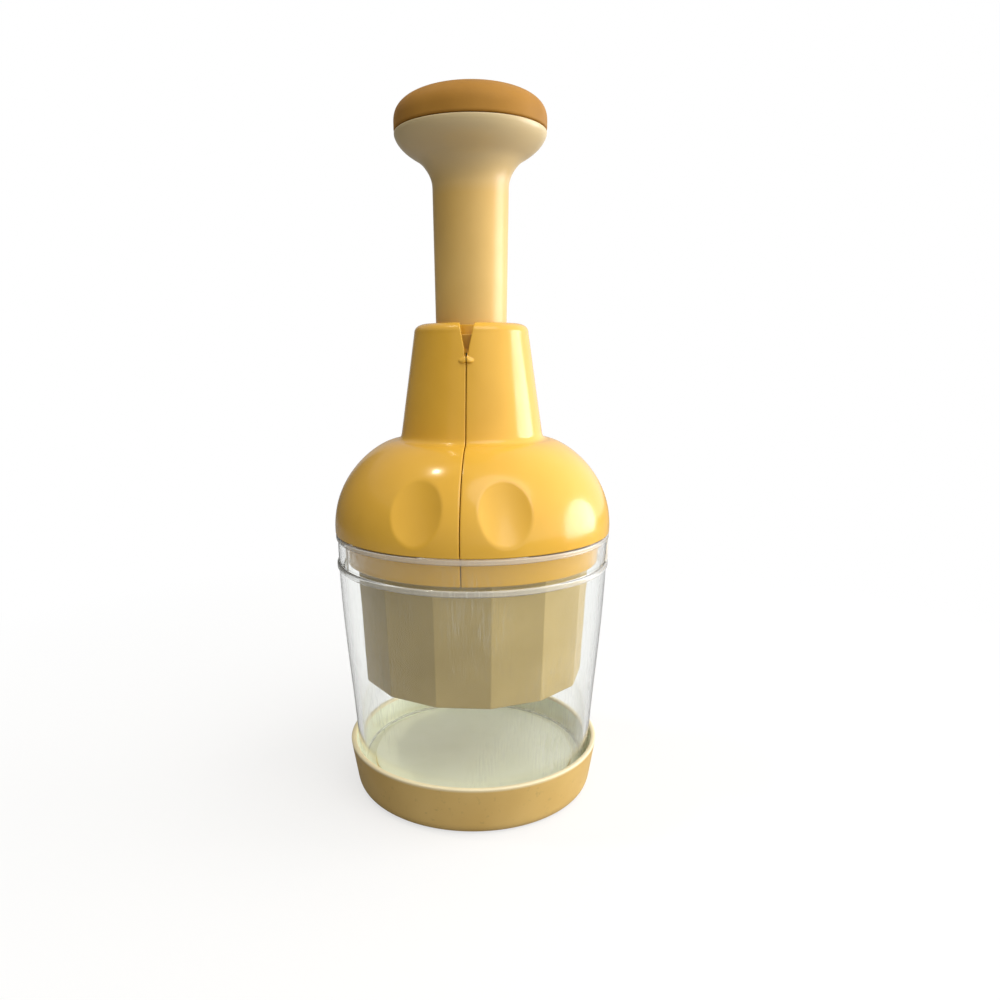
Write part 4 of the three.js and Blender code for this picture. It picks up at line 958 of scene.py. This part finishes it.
def make_stem():
    foot = stem_low.z
    flare = knob_flare()
    bore = STEM_RADIUS - STEM_WALL
    inner_foot = (STEM_FOOT_RADIUS - STEM_WALL, foot)
    outside = rounded([
        inner_foot,
        (STEM_LIP_REACH, foot, 0.3), (STEM_LIP_REACH, foot + STEM_LIP_HEIGHT, 0.3),
        (STEM_FOOT_RADIUS, foot + STEM_LIP_HEIGHT),
    ]) + flare[:-1]
    inside = rounded([
        flare[-2],
        (knob_radius, knob_top_z, 0.45), (knob_radius - KNOB_WALL, knob_top_z, 0.4),
        *reversed(knob_cavity()),
        (bore, web_top_z), (SPIGOT_RADIUS + TOUCH_GAP, web_top_z, 0.2),
        (SPIGOT_RADIUS + TOUCH_GAP, socket_foot_z), (SOCKET_RADIUS, socket_foot_z, 0.3),
        (SOCKET_RADIUS, socket_top_z), (bore, socket_top_z, 0.5),
        inner_foot,
    ])[1:-1]
    add_piece("stem_and_knob", turned(outside + inside, circle(STEM_STEPS)), [CREAM], "plunger",
              ["plunger_stem"])


def make_cap():
    cap_z = knob_top_z + TOUCH_GAP
    side_top = cap_z + CAP_SIDE_HEIGHT
    spigot_foot = cap_z - CAP_SPIGOT_DEPTH
    spigot = min(r for r, z in knob_cavity() if z > spigot_foot) - TOUCH_GAP
    under = rounded([
        (0, cap_high.z - CAP_SHELL), (spigot - CAP_SPIGOT_WALL, side_top, 1.0),
        (spigot - CAP_SPIGOT_WALL, spigot_foot, 0.3), (spigot, spigot_foot, 0.3),
        (spigot, cap_z), (knob_radius, cap_z, 0.7), (knob_radius, side_top),
    ])[:-1]
    crown = swept((knob_radius, side_top), (0, cap_high.z), CAP_CROWN, 36)
    add_piece("palm_pad", turned(under + crown, circle(STEM_STEPS)), [TAN], "plunger",
              ["palm_cap"])


# Head frame: carrier plate, ribs and the column round the stem

CARRIER_THICKNESS = 2.8
CARRIER_BORE = 9.0
COLUMN_RADIUS = 16.0
COLUMN_BORE = 14.0
LEDGE_BORE = 10.5
LEDGE_RISE = 7.2
LEDGE_THICKNESS = 1.6
RIB_COUNT = 4
RIB_REACH = 40.0
RIB_HEIGHT = 12.0
RIB_HALF = 1.0
RIB_FOOT_RISE = 0.5
RIB_END_RISE = 0.3
DRAIN_COUNT = 8
DRAIN_CIRCLE = 34.0
DRAIN_RADIUS = 3.2
WINDOW_HALF = 5.0
WINDOW_LOW = 24.3
WINDOW_HIGH = 46.3
PAD_HALF = 3.8
PAD_INSIDE = COLUMN_BORE + 0.9
PAD_REACH = 16.2
SLEEVE_RADIUS = 13.9
SLEEVE_DROP = 0.6
SLEEVE_OVERLAP = 1
BALL_HALVES = (19.0, 28.0, 14.0)
BALL_SEGMENTS = (48, 24)

carrier_top_z = head_low.z + CARRIER_THICKNESS


def head_body():
    low, top = head_low.z, head_high.z
    ledge = low + LEDGE_RISE
    seat_radius = bush_high.x + TOUCH_GAP
    seat_z = bush_low.z - TOUCH_GAP
    return lathed([
        (CARRIER_BORE, low, 0.3), (head_high.x, low, 0.5), (head_high.x, carrier_top_z, 0.5),
        (COLUMN_RADIUS, carrier_top_z, 0.8), (COLUMN_RADIUS, top, 0.4), (seat_radius, top, 0.3),
        (seat_radius, seat_z), (COLUMN_BORE, seat_z, 0.2),
        (COLUMN_BORE, ledge + LEDGE_THICKNESS), (LEDGE_BORE, ledge + LEDGE_THICKNESS, 0.3),
        (LEDGE_BORE, ledge, 0.3), (COLUMN_BORE, ledge), (COLUMN_BORE, carrier_top_z),
        (CARRIER_BORE, carrier_top_z, 0.3),
    ], STEM_STEPS)


def head_rib(index):
    inner = (COLUMN_RADIUS + COLUMN_BORE) / 2
    foot = head_low.z + RIB_FOOT_RISE
    outline = rounded([
        (inner, foot), (RIB_REACH, foot),
        (RIB_REACH, carrier_top_z + RIB_END_RISE, 0.4), (inner, carrier_top_z + RIB_HEIGHT, 0.6),
    ])
    return turned_about_z(thickened(outline, -RIB_HALF, RIB_HALF), (index + 0.5) * TURN / RIB_COUNT)


def hinge_pad(near, far):
    return block((-PAD_HALF, near, pivot_z - PAD_HALF), (PAD_HALF, far, pivot_z + PAD_HALF))


def drain_hole(x, y):
    hole = rod(DRAIN_RADIUS, head_low.z - OVERRUN, carrier_top_z + OVERRUN, 0, HOLE_STEPS, HOLE_START)
    return moved(hole, Matrix.Translation((x * DRAIN_CIRCLE * MM, y * DRAIN_CIRCLE * MM, 0)))


def dimple_ball(azimuth):
    """Flattened ball that leaves room in the head frame for a dimple's inner side."""
    centre, *axes = dimple_frame(azimuth)
    room = HOUSING_WALL + RUNNING_GAP
    bm = bmesh.new()
    bmesh.ops.create_uvsphere(bm, u_segments=BALL_SEGMENTS[0], v_segments=BALL_SEGMENTS[1], radius=MM)
    stretch = Matrix([axis * (half + room) for axis, half in zip(axes, BALL_HALVES)])
    centre += axes[-1] * (BALL_HALVES[-1] - DIMPLE_DEPTH)
    return moved(bm, Matrix.Translation(centre * MM) @ stretch.transposed().to_4x4())


def make_head_frame():
    ribs = [head_rib(i) for i in range(RIB_COUNT)]
    pads = [hinge_pad(-PAD_REACH, -PAD_INSIDE), hinge_pad(PAD_INSIDE, PAD_REACH)]
    holes = [drain_hole(x, y) for x, y in circle(DRAIN_COUNT)]
    window = block((-COLUMN_RADIUS - OVERRUN, -WINDOW_HALF, head_low.z + WINDOW_LOW),
                   (COLUMN_RADIUS + OVERRUN, WINDOW_HALF, head_low.z + WINDOW_HIGH))
    pin_reach = PAD_REACH + OVERRUN
    pin_hole = rod(HINGE_PIN_RADIUS + TOUCH_GAP, -pin_reach, pin_reach, start=HOLE_START)
    balls = [dimple_ball(back + side * DIMPLE_AZIMUTH) for back in (0, pi) for side in (-1, 1)]
    cutters = [*holes, window, laid_along_y(pin_hole, pivot_z), *balls]
    bm = combined(head_body(), add=[*ribs, *pads], cut=cutters)
    add_piece("head_moulding", bm, [FRAME_YELLOW], "head", ["head_frame"])


def make_sleeve():
    low, high = bush_high.z - SLEEVE_OVERLAP, neck_top_z - SLEEVE_DROP
    sleeve = ring(SLEEVE_RADIUS, STEM_BORE, low, high, 0.2, STEM_STEPS)
    add_piece("stem_sleeve", sleeve, [YELLOW], "head")


# Guard: fourteen-sided skirt with roof and hub, its scraper plate and circlip

GUARD_SIDES = 14
GUARD_CORNER = 0.035
GUARD_WALL = 1.8
GUARD_TAPER = 2.2
GUARD_ROOF = 2.0
GUARD_HUB_RISE = 6.6
GUARD_HUB_RADIUS = 8.6
GUARD_HUB_BORE = 6.1
GUARD_HUB_GROOVE = 1
GUARD_HUB_SINK = 0.3
SCRAPER_LEDGE = 1.6
SCRAPER_SLOT_HALF = 1.2
SCRAPER_SLOT_END = 0.8
CIRCLIP_THICKNESS = 1.0
CIRCLIP_REACH = 11.0
CIRCLIP_BORE = 7.9
CIRCLIP_CORNER = 0.6
CIRCLIP_MOUTH = radians(70)
CIRCLIP_STEPS = 60

guard_roof_z = guard_high.z - GUARD_HUB_RISE - GUARD_ROOF
guard_top_z = guard_roof_z + GUARD_ROOF
guard_section = rounded([
    (x, y, GUARD_CORNER) for x, y in circle(GUARD_SIDES, pi / GUARD_SIDES - QUARTER)
])


def guard_skirt():
    foot, top_radius = guard_low.z, guard_high.x
    foot_radius = top_radius - GUARD_TAPER

    def inner(z):
        return mix(foot_radius, top_radius, (z - foot) / (guard_top_z - foot)) - GUARD_WALL

    ledge_top = scraper_low.z - TOUCH_GAP
    ledge = ledge_top - SCRAPER_LEDGE
    return turned(rounded([
        (0, guard_roof_z), (inner(guard_roof_z), guard_roof_z, 1.0),
        (inner(ledge_top), ledge_top), (inner(ledge_top) - SCRAPER_LEDGE, ledge_top, 0.3),
        (inner(ledge), ledge, 0.3), (inner(foot), foot, 0.4), (foot_radius, foot, 0.5),
        (top_radius, guard_top_z, 1.2), (0, guard_top_z),
    ]), guard_section)


def guard_hub():
    foot = guard_roof_z + GUARD_HUB_SINK
    groove_top = carrier_top_z + CIRCLIP_THICKNESS + 2 * TOUCH_GAP
    groove_radius = GUARD_HUB_RADIUS - GUARD_HUB_GROOVE
    return lathed([
        (0, foot), (GUARD_HUB_RADIUS, foot), (GUARD_HUB_RADIUS, carrier_top_z, 0.1),
        (groove_radius, carrier_top_z), (groove_radius, groove_top),
        (GUARD_HUB_RADIUS, groove_top, 0.1), (GUARD_HUB_RADIUS, guard_high.z, 0.3),
        (0, guard_high.z),
    ], HUB_STEPS)


def make_guard():
    bore = rod(GUARD_HUB_BORE, guard_roof_z - OVERRUN, guard_high.z + OVERRUN, steps=HUB_STEPS)
    bm = combined(guard_skirt(), add=[guard_hub()], cut=[bore])
    add_piece("guard_skirt", bm, [IVORY], "guard", ["blade_guard"])


def make_scraper():
    low, high = scraper_low.z, scraper_high.z
    plate = turned(rounded(disc_corners(scraper_high.x, low, high, 0.3)), guard_section)
    slots = blade_slots(SCRAPER_SLOT_HALF, SCRAPER_SLOT_END, low - OVERRUN, high + OVERRUN)
    add_piece("scraper_disc", combined(plate, cut=slots), [IVORY], "guard",
              ["scraper_plate"])


def make_circlip():
    low, high = span("guard_circlip")
    ends = (CIRCLIP_MOUTH / 2, TURN - CIRCLIP_MOUTH / 2)
    outside = arc(CIRCLIP_REACH, *ends, CIRCLIP_STEPS)
    inside = arc(CIRCLIP_BORE, *ends, CIRCLIP_STEPS)
    outline = []
    for first, *between, last in (outside, reversed(inside)):
        outline += [(*first, CIRCLIP_CORNER), *between, (*last, CIRCLIP_CORNER)]
    add_piece("spring_clip", raised(rounded(outline), low.z, high.z), [SPRING_STEEL], "guard",
              ["guard_circlip"])


# Drive: twisted shaft, its nut, the spring, washers and screws

BLADE_TURN = radians(60)
STROKE = 40
SHAFT_HALF = 2.6
SHAFT_CORNER = 0.4
SHAFT_ROW = 1.6
SHAFT_PASSAGE = SHAFT_HALF * sqrt(2) + RUNNING_GAP
SPIGOT_OVERLAP = 1
NUT_FLANGE = 1.2
NUT_CORNER = 0.2
SPRING_WIRE = 0.9
SPRING_COIL = 8.6
SPRING_CURLS = 13
SPRING_CURL_STEPS = 28
SPRING_SIDES = 10
SPRING_SHARP = radians(60)
WASHER_EDGE = 0.2
BUSH_EDGE = 0.3
SCREW_HEAD_RADIUS = 3.5
SCREW_HEAD_HEIGHT = 2.0
SCREW_SHANK = 1.5
SCREW_TIP_SHARE = 0.6
SCREW_SLOT = 0.9
THREAD_PITCH = 1.0
THREAD_DEPTH = 0.25


def twisted_bar(half, low_z, high_z, corner):
    """Square bar whose section turns with height, as the nut that follows it needs."""
    square = rounded([(half * x, half * y, corner) for x, y in ((1, -1), (1, 1), (-1, 1), (-1, -1))])
    rows = max(2, round((high_z - low_z) / SHAFT_ROW))
    rings = []
    for i in range(rows + 1):
        z = mix(low_z, high_z, i / rows)
        turn = (z - guard_roof_z) * BLADE_TURN / STROKE
        c, s = cos(turn), sin(turn)
        rings.append([(x * c - y * s, x * s + y * c, z) for x, y in square])
    return lofted(rings)


def make_shaft():
    low = hub_high.z + TOUCH_GAP
    shoulder = socket_foot_z - TOUCH_GAP
    bar = twisted_bar(SHAFT_HALF, low, shoulder, SHAFT_CORNER)
    spigots = [
        rod(SPIGOT_RADIUS, shaft_low.z, low + SPIGOT_OVERLAP, 0.3),
        rod(SPIGOT_RADIUS, shoulder - SPIGOT_OVERLAP, shaft_high.z, 0.3),
    ]
    add_piece("twisted_shaft", combined(bar, add=spigots), [STEEL], "plunger", ["drive_shaft"])


def make_nut():
    low, high = span("drive_nut")
    barrel = GUARD_HUB_BORE - TOUCH_GAP
    flange_z = high.z - NUT_FLANGE
    nut = lathed([
        (0, low.z), (barrel, low.z, 0.2), (barrel, flange_z),
        (high.x, flange_z, 0.2), (high.x, high.z, 0.3), (0, high.z),
    ], NUT_STEPS)
    hole = twisted_bar(SHAFT_HALF + RUNNING_GAP, low.z - OVERRUN, high.z + OVERRUN, NUT_CORNER)
    add_piece("twist_nut", combined(nut, cut=[hole]), [BRASS], "guard", ["drive_nut"])


def make_spring():
    low, high = spring_low.z + SPRING_WIRE, spring_high.z - SPRING_WIRE
    steps = SPRING_CURLS * SPRING_CURL_STEPS
    rings = []
    for i in range(steps + 1):
        angle = TURN * i / SPRING_CURL_STEPS
        out = Vector((cos(angle), sin(angle), 0))
        centre = out * SPRING_COIL + Vector((0, 0, mix(low, high, i / steps)))
        rings.append([
            centre + out * (SPRING_WIRE * x) + Vector((0, 0, SPRING_WIRE * z))
            for x, z in circle(SPRING_SIDES)
        ])
    made = add_piece("coil_spring", lofted(rings), [SPRING_STEEL], "head",
                     ["return_spring"], sharp=SPRING_SHARP)
    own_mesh(made)


def make_ring(name, node, bore, material, body, edge=WASHER_EDGE, steps=WASHER_STEPS):
    """Bush or washer: a bored ring that fills its CAD node's box."""
    low, high = span(node)
    add_piece(name, ring(high.x, bore, low.z, high.z, edge, steps), [material], body, [node])


def make_screw(name, node, body, head_up):
    """Slotted screw with a threaded shank; its head is at the top or at the foot of its box."""
    low, high = span(node)
    head_z, tip_z = (high.z, low.z) if head_up else (low.z, high.z)
    up = 1 if tip_z > head_z else -1
    neck_z = head_z + up * SCREW_HEAD_HEIGHT
    corners = [(0, head_z), (SCREW_HEAD_RADIUS, head_z, 0.5), (SCREW_HEAD_RADIUS, neck_z, 0.2),
               (SCREW_SHANK, neck_z)]
    z = neck_z + up * THREAD_PITCH
    while (tip_z - z) * up > THREAD_PITCH:
        corners += [(SCREW_SHANK - THREAD_DEPTH, z), (SCREW_SHANK, z + up * THREAD_PITCH / 2)]
        z += up * THREAD_PITCH
    corners += [(SCREW_SHANK * SCREW_TIP_SHARE, tip_z), (0, tip_z)]
    slot_low, slot_high = sorted((head_z - up * OVERRUN, head_z + up * SCREW_SLOT))
    reach = SCREW_HEAD_RADIUS + OVERRUN
    slot = block((-reach, -SCREW_SLOT / 2, slot_low), (reach, SCREW_SLOT / 2, slot_high))
    bm = combined(lathed(corners, SMALL_STEPS), cut=[slot])
    add_piece(name, bm, [STEEL], body, [node])


# Blades and the hub that holds them

BLADE_COUNT = 3
BLADE_HALF = 0.4
BLADE_BEVEL = 2.4
BLADE_EDGE_HALF = 0.05
BLADE_BEND = 1.2
BLADE_RIM_GAP = 3.5
BLADE_GRIP = 3.8
BLADE_EASE = 0.02
BLADE_SHARP = radians(25)
BLADE_RADIUS_SHARES = (0.27, 0.5, 0.72, 0.96)
BLADE_SIDE_SHARES = (-0.11, 0.2, -0.23, 0.17)
HUB_THICKNESS = 5.0
HUB_BOSS_RADIUS = 9.0
HUB_COUNTERBORE_RADIUS = 6.0
HUB_COUNTERBORE_DEPTH = 4.2

blade_reach = hub_high.x - BLADE_RIM_GAP


def blade_spine(end_reach=0.0, bend=BLADE_BEND):
    """Middle line of a zigzag blade in plan, with softly bent corners."""
    shares = zip(BLADE_RADIUS_SHARES, BLADE_SIDE_SHARES)
    points = [Vector((blade_reach * r, blade_reach * s)) for r, s in shares]
    points[0] -= (points[1] - points[0]).normalized() * end_reach
    points[-1] += (points[-1] - points[-2]).normalized() * end_reach
    corners = [points[0], *[(*p, bend) for p in points[1:-1]], points[-1]]
    return [Vector(p) for p in rounded(corners)]


def spine_sides(spine):
    """Sideways direction at each point of a spine, long enough to keep a strip's width."""
    steps = [(b - a).normalized() for a, b in zip(spine, spine[1:])]
    sides = []
    for back, ahead in zip([steps[0], *steps], [*steps, steps[-1]]):
        along = (back + ahead).normalized()
        normal = Vector((-along.y, along.x))
        sides.append(normal / normal.dot(Vector((-back.y, back.x))))
    return sides


def blade_slots(half, end_reach, low_z, high_z):
    """Slots that follow the blades in plan, wider by a half and longer at their ends."""
    spine = blade_spine(end_reach, BLADE_BEND + 2 * half)
    offsets = [side * half for side in spine_sides(spine)]
    outline = [tuple(p + o) for p, o in zip(spine, offsets)]
    outline += [tuple(p - o) for p, o in zip(reversed(spine), reversed(offsets))]
    return [turned_about_z(raised(outline, low_z, high_z), i * TURN / BLADE_COUNT)
            for i in range(BLADE_COUNT)]


def make_blade(index):
    spine = blade_spine()
    low, high = blade_low.z, blade_high.z
    shoulder = low + BLADE_BEVEL
    section = [(BLADE_HALF, high), (BLADE_HALF, shoulder), (BLADE_EDGE_HALF, low)]
    section += [(-out, z) for out, z in reversed(section)]
    rings = [[(*(p + s * out), z) for out, z in section] for p, s in zip(spine, spine_sides(spine))]
    blade = turned_about_z(lofted(rings), index * TURN / BLADE_COUNT)
    add_piece(f"zigzag_blade_{index + 1}", blade, [BLADE_STEEL], "blade",
              [f"blade_{index + 1}"], sharp=BLADE_SHARP)


def make_blade_hub():
    low, bore = hub_low.z, SPIGOT_RADIUS + TOUCH_GAP
    plate_top = low + HUB_THICKNESS
    hub = lathed([
        (bore, low + HUB_COUNTERBORE_DEPTH),
        (HUB_COUNTERBORE_RADIUS, low + HUB_COUNTERBORE_DEPTH),
        (HUB_COUNTERBORE_RADIUS, low, 0.3), (hub_high.x, low, 0.6),
        (hub_high.x, plate_top, 0.6), (HUB_BOSS_RADIUS, plate_top, 0.6),
        (HUB_BOSS_RADIUS, hub_high.z, 0.4), (bore, hub_high.z, 0.2),
    ], STEM_STEPS)
    slots = blade_slots(BLADE_HALF + BLADE_EASE, BLADE_EASE, low - OVERRUN, low + BLADE_GRIP)
    add_piece("blade_carrier", combined(hub, cut=slots), [WHITE], "blade", ["blade_hub"])


make_tray()
make_cup()
for number, azimuth in enumerate(CATCH_AZIMUTHS, 1):
    make_catch(number, azimuth)
make_half("left", 0)
make_half("right", pi)
make_hinge_pin("front", -1)
make_hinge_pin("back", 1)
make_head_frame()
make_ring("bush_ring", "guide_bush", STEM_BORE, BUSH_WHITE, "head", BUSH_EDGE, STEM_STEPS)
make_sleeve()
make_stem()
make_cap()
make_shaft()
make_spring()
make_ring("spring_seat_ring", "spring_washer", SHAFT_PASSAGE, STEEL, "head")
make_ring("thrust_ring", "thrust_washer", CARRIER_BORE, BUSH_WHITE, "head")
make_ring("knob_washer_ring", "knob_washer", SCREW_SHANK + TOUCH_GAP, STEEL, "plunger")
make_ring("hub_washer_ring", "hub_washer", SCREW_SHANK + TOUCH_GAP, STEEL, "plunger")
make_screw("knob_slotted_screw", "knob_screw", "plunger", head_up=True)
make_screw("hub_slotted_screw", "hub_screw", "plunger", head_up=False)
make_guard()
make_scraper()
make_nut()
make_circlip()
for index in range(BLADE_COUNT):
    make_blade(index)
make_blade_hub()


# Floor, world and lamps, in metres

FLOOR_RADIUS = 3.0
FLOOR_STEPS = 96
FLOOR_WHITE_FROM = 0.09
FLOOR_WHITE_TO = 0.38
FLOOR_SHARE = 0.66
FLOOR_COLOUR = (0.9, 0.9, 0.9, 1)
FLOOR_BOUNCE = (0.31, 0.315, 0.32, 1)
WHITE_LIGHT = (1, 1, 1, 1)
WORLD_LEFT = 0.42
WORLD_RIGHT = 1.7
WORLD_TURNS_FROM = -0.1
WORLD_TURNS_TO = 0.95
FLAG_RADIUS = 0.8
FLAG_HEIGHT = 0.5
FLAG_STEPS = 40
FLAG_FROM = radians(-240)
FLAG_TO = radians(-125)
FLAG_COLOUR = (0.12, 0.125, 0.12, 1)
LAMP_AIM = Vector((0, 0, 0.12))

# Each lamp's place, size, power and colour
LAMPS = {
    "key": ((0.4, -0.5, 1.0), 0.9, 4.6, (1.0, 0.975, 0.92)),
    "rim": ((0.96, 0.2, 0.14), 0.7, 8.0, (1.0, 0.985, 0.95)),
    "bulb": ((-0.36, -0.05, 1.12), 0.08, 1.5, (1.0, 0.92, 0.72)),
}


def make_floor():
    """Pale floor that keeps the object's shadow and turns white further out."""
    bm = bmesh.new()
    bmesh.ops.create_circle(bm, cap_ends=True, segments=FLOOR_STEPS, radius=FLOOR_RADIUS)
    floor = link_mesh("floor", bm)
    material, tree, shader = new_material("floor_white")
    seen = ray_is(tree, "Camera", "Transmission")
    feed(tree, shader, {
        "Base Color": mixed(tree, seen, FLOOR_BOUNCE, FLOOR_COLOUR),
        "Roughness": 0.9,
        "Specular IOR Level": 0.1,
    })
    glow = add_node(tree, "Emission", {"Color": WHITE_LIGHT, "Strength": 1.0})
    distance = add_node(tree, "VectorMath", {0: coordinates(tree)}, operation="LENGTH")
    share = ranged(tree, distance.outputs["Value"], FLOOR_SHARE, 1.0, FLOOR_WHITE_FROM, FLOOR_WHITE_TO)
    show_mix(tree, worked_out(tree, "MULTIPLY", share, seen), shader.outputs["BSDF"],
             glow.outputs["Emission"])
    floor.data.materials.append(material)


def make_flag():
    """Dark card round the left of the set, which shades that side and shows in its gloss."""
    bm = bmesh.new()
    plan = arc(FLAG_RADIUS, FLAG_FROM, FLAG_TO, FLAG_STEPS)
    rows = [[bm.verts.new((x, y, z)) for x, y in plan] for z in (0, FLAG_HEIGHT)]
    add_loops(bm, rows, closed_loops=False)
    flag = link_mesh("left_flag", bm)
    flag.visible_camera = False
    material, tree, shader = new_material("flag_card")
    feed(tree, shader, {"Base Color": FLAG_COLOUR, "Roughness": 1.0, "Specular IOR Level": 0.0})
    flag.data.materials.append(material)


def make_world():
    """White to the camera; as light it is dim on the left and bright on the right, like a window."""
    world = bpy.data.worlds.new("studio")
    bpy.context.scene.world = world
    world.use_nodes = True
    tree = world.node_tree
    across = along_axis(tree, coordinates(tree, "Generated"), "X")
    light = ranged(tree, across, WORLD_LEFT, WORLD_RIGHT, WORLD_TURNS_FROM, WORLD_TURNS_TO)
    seen = ray_is(tree, "Camera", "Transmission")
    strength = add_node(tree, "Mix", {0: seen, 2: light, 3: 1.0}, data_type="FLOAT")
    feed(tree, tree.nodes["Background"], {"Strength": strength.outputs[0], "Color": WHITE_LIGHT})


def add_lamp(name, place, size, power, colour):
    data = bpy.data.lights.new(name, "AREA")
    data.shape = "DISK"
    data.size = size
    data.energy = power
    data.color = colour
    lamp = link_object(name, data)
    lamp.location = place
    lamp.rotation_mode = "QUATERNION"
    lamp.rotation_quaternion = (LAMP_AIM - Vector(place)).to_track_quat("-Z", "Y")


# Camera, in millimetres and placed as the photo shows the object

CAMERA_DISTANCE = 298.55
CAMERA_HEIGHT = 164.48
CAMERA_AZIMUTH = radians(4.7)
CAMERA_PITCH = radians(16.14)
CAMERA_ROLL = radians(-0.3)
CAMERA_LENS = 28.95
CAMERA_SENSOR = 36
CAMERA_SHIFT = (0.0273, 0.09)
CAMERA_CLIP = (0.01, 20)


def make_camera():
    data = bpy.data.cameras.new("camera")
    data.lens = CAMERA_LENS
    data.sensor_width = CAMERA_SENSOR
    data.shift_x, data.shift_y = CAMERA_SHIFT
    data.clip_start, data.clip_end = CAMERA_CLIP
    camera = link_object("camera", data)
    place = Vector((
        CAMERA_DISTANCE * sin(CAMERA_AZIMUTH),
        -CAMERA_DISTANCE * cos(CAMERA_AZIMUTH),
        CAMERA_HEIGHT,
    )) * MM
    faces = Matrix.Rotation(CAMERA_AZIMUTH, 4, "Z") @ Matrix.Rotation(QUARTER - CAMERA_PITCH, 4, "X")
    camera.matrix_world = Matrix.Translation(place) @ faces @ Matrix.Rotation(CAMERA_ROLL, 4, "Z")
    bpy.context.scene.camera = camera


make_floor()
make_world()
make_flag()
for name, (place, size, power, colour) in LAMPS.items():
    add_lamp(name, place, size, power, colour)
make_camera()
bpy.context.scene.view_settings.view_transform = "Standard"

bpy.context.view_layer.update()
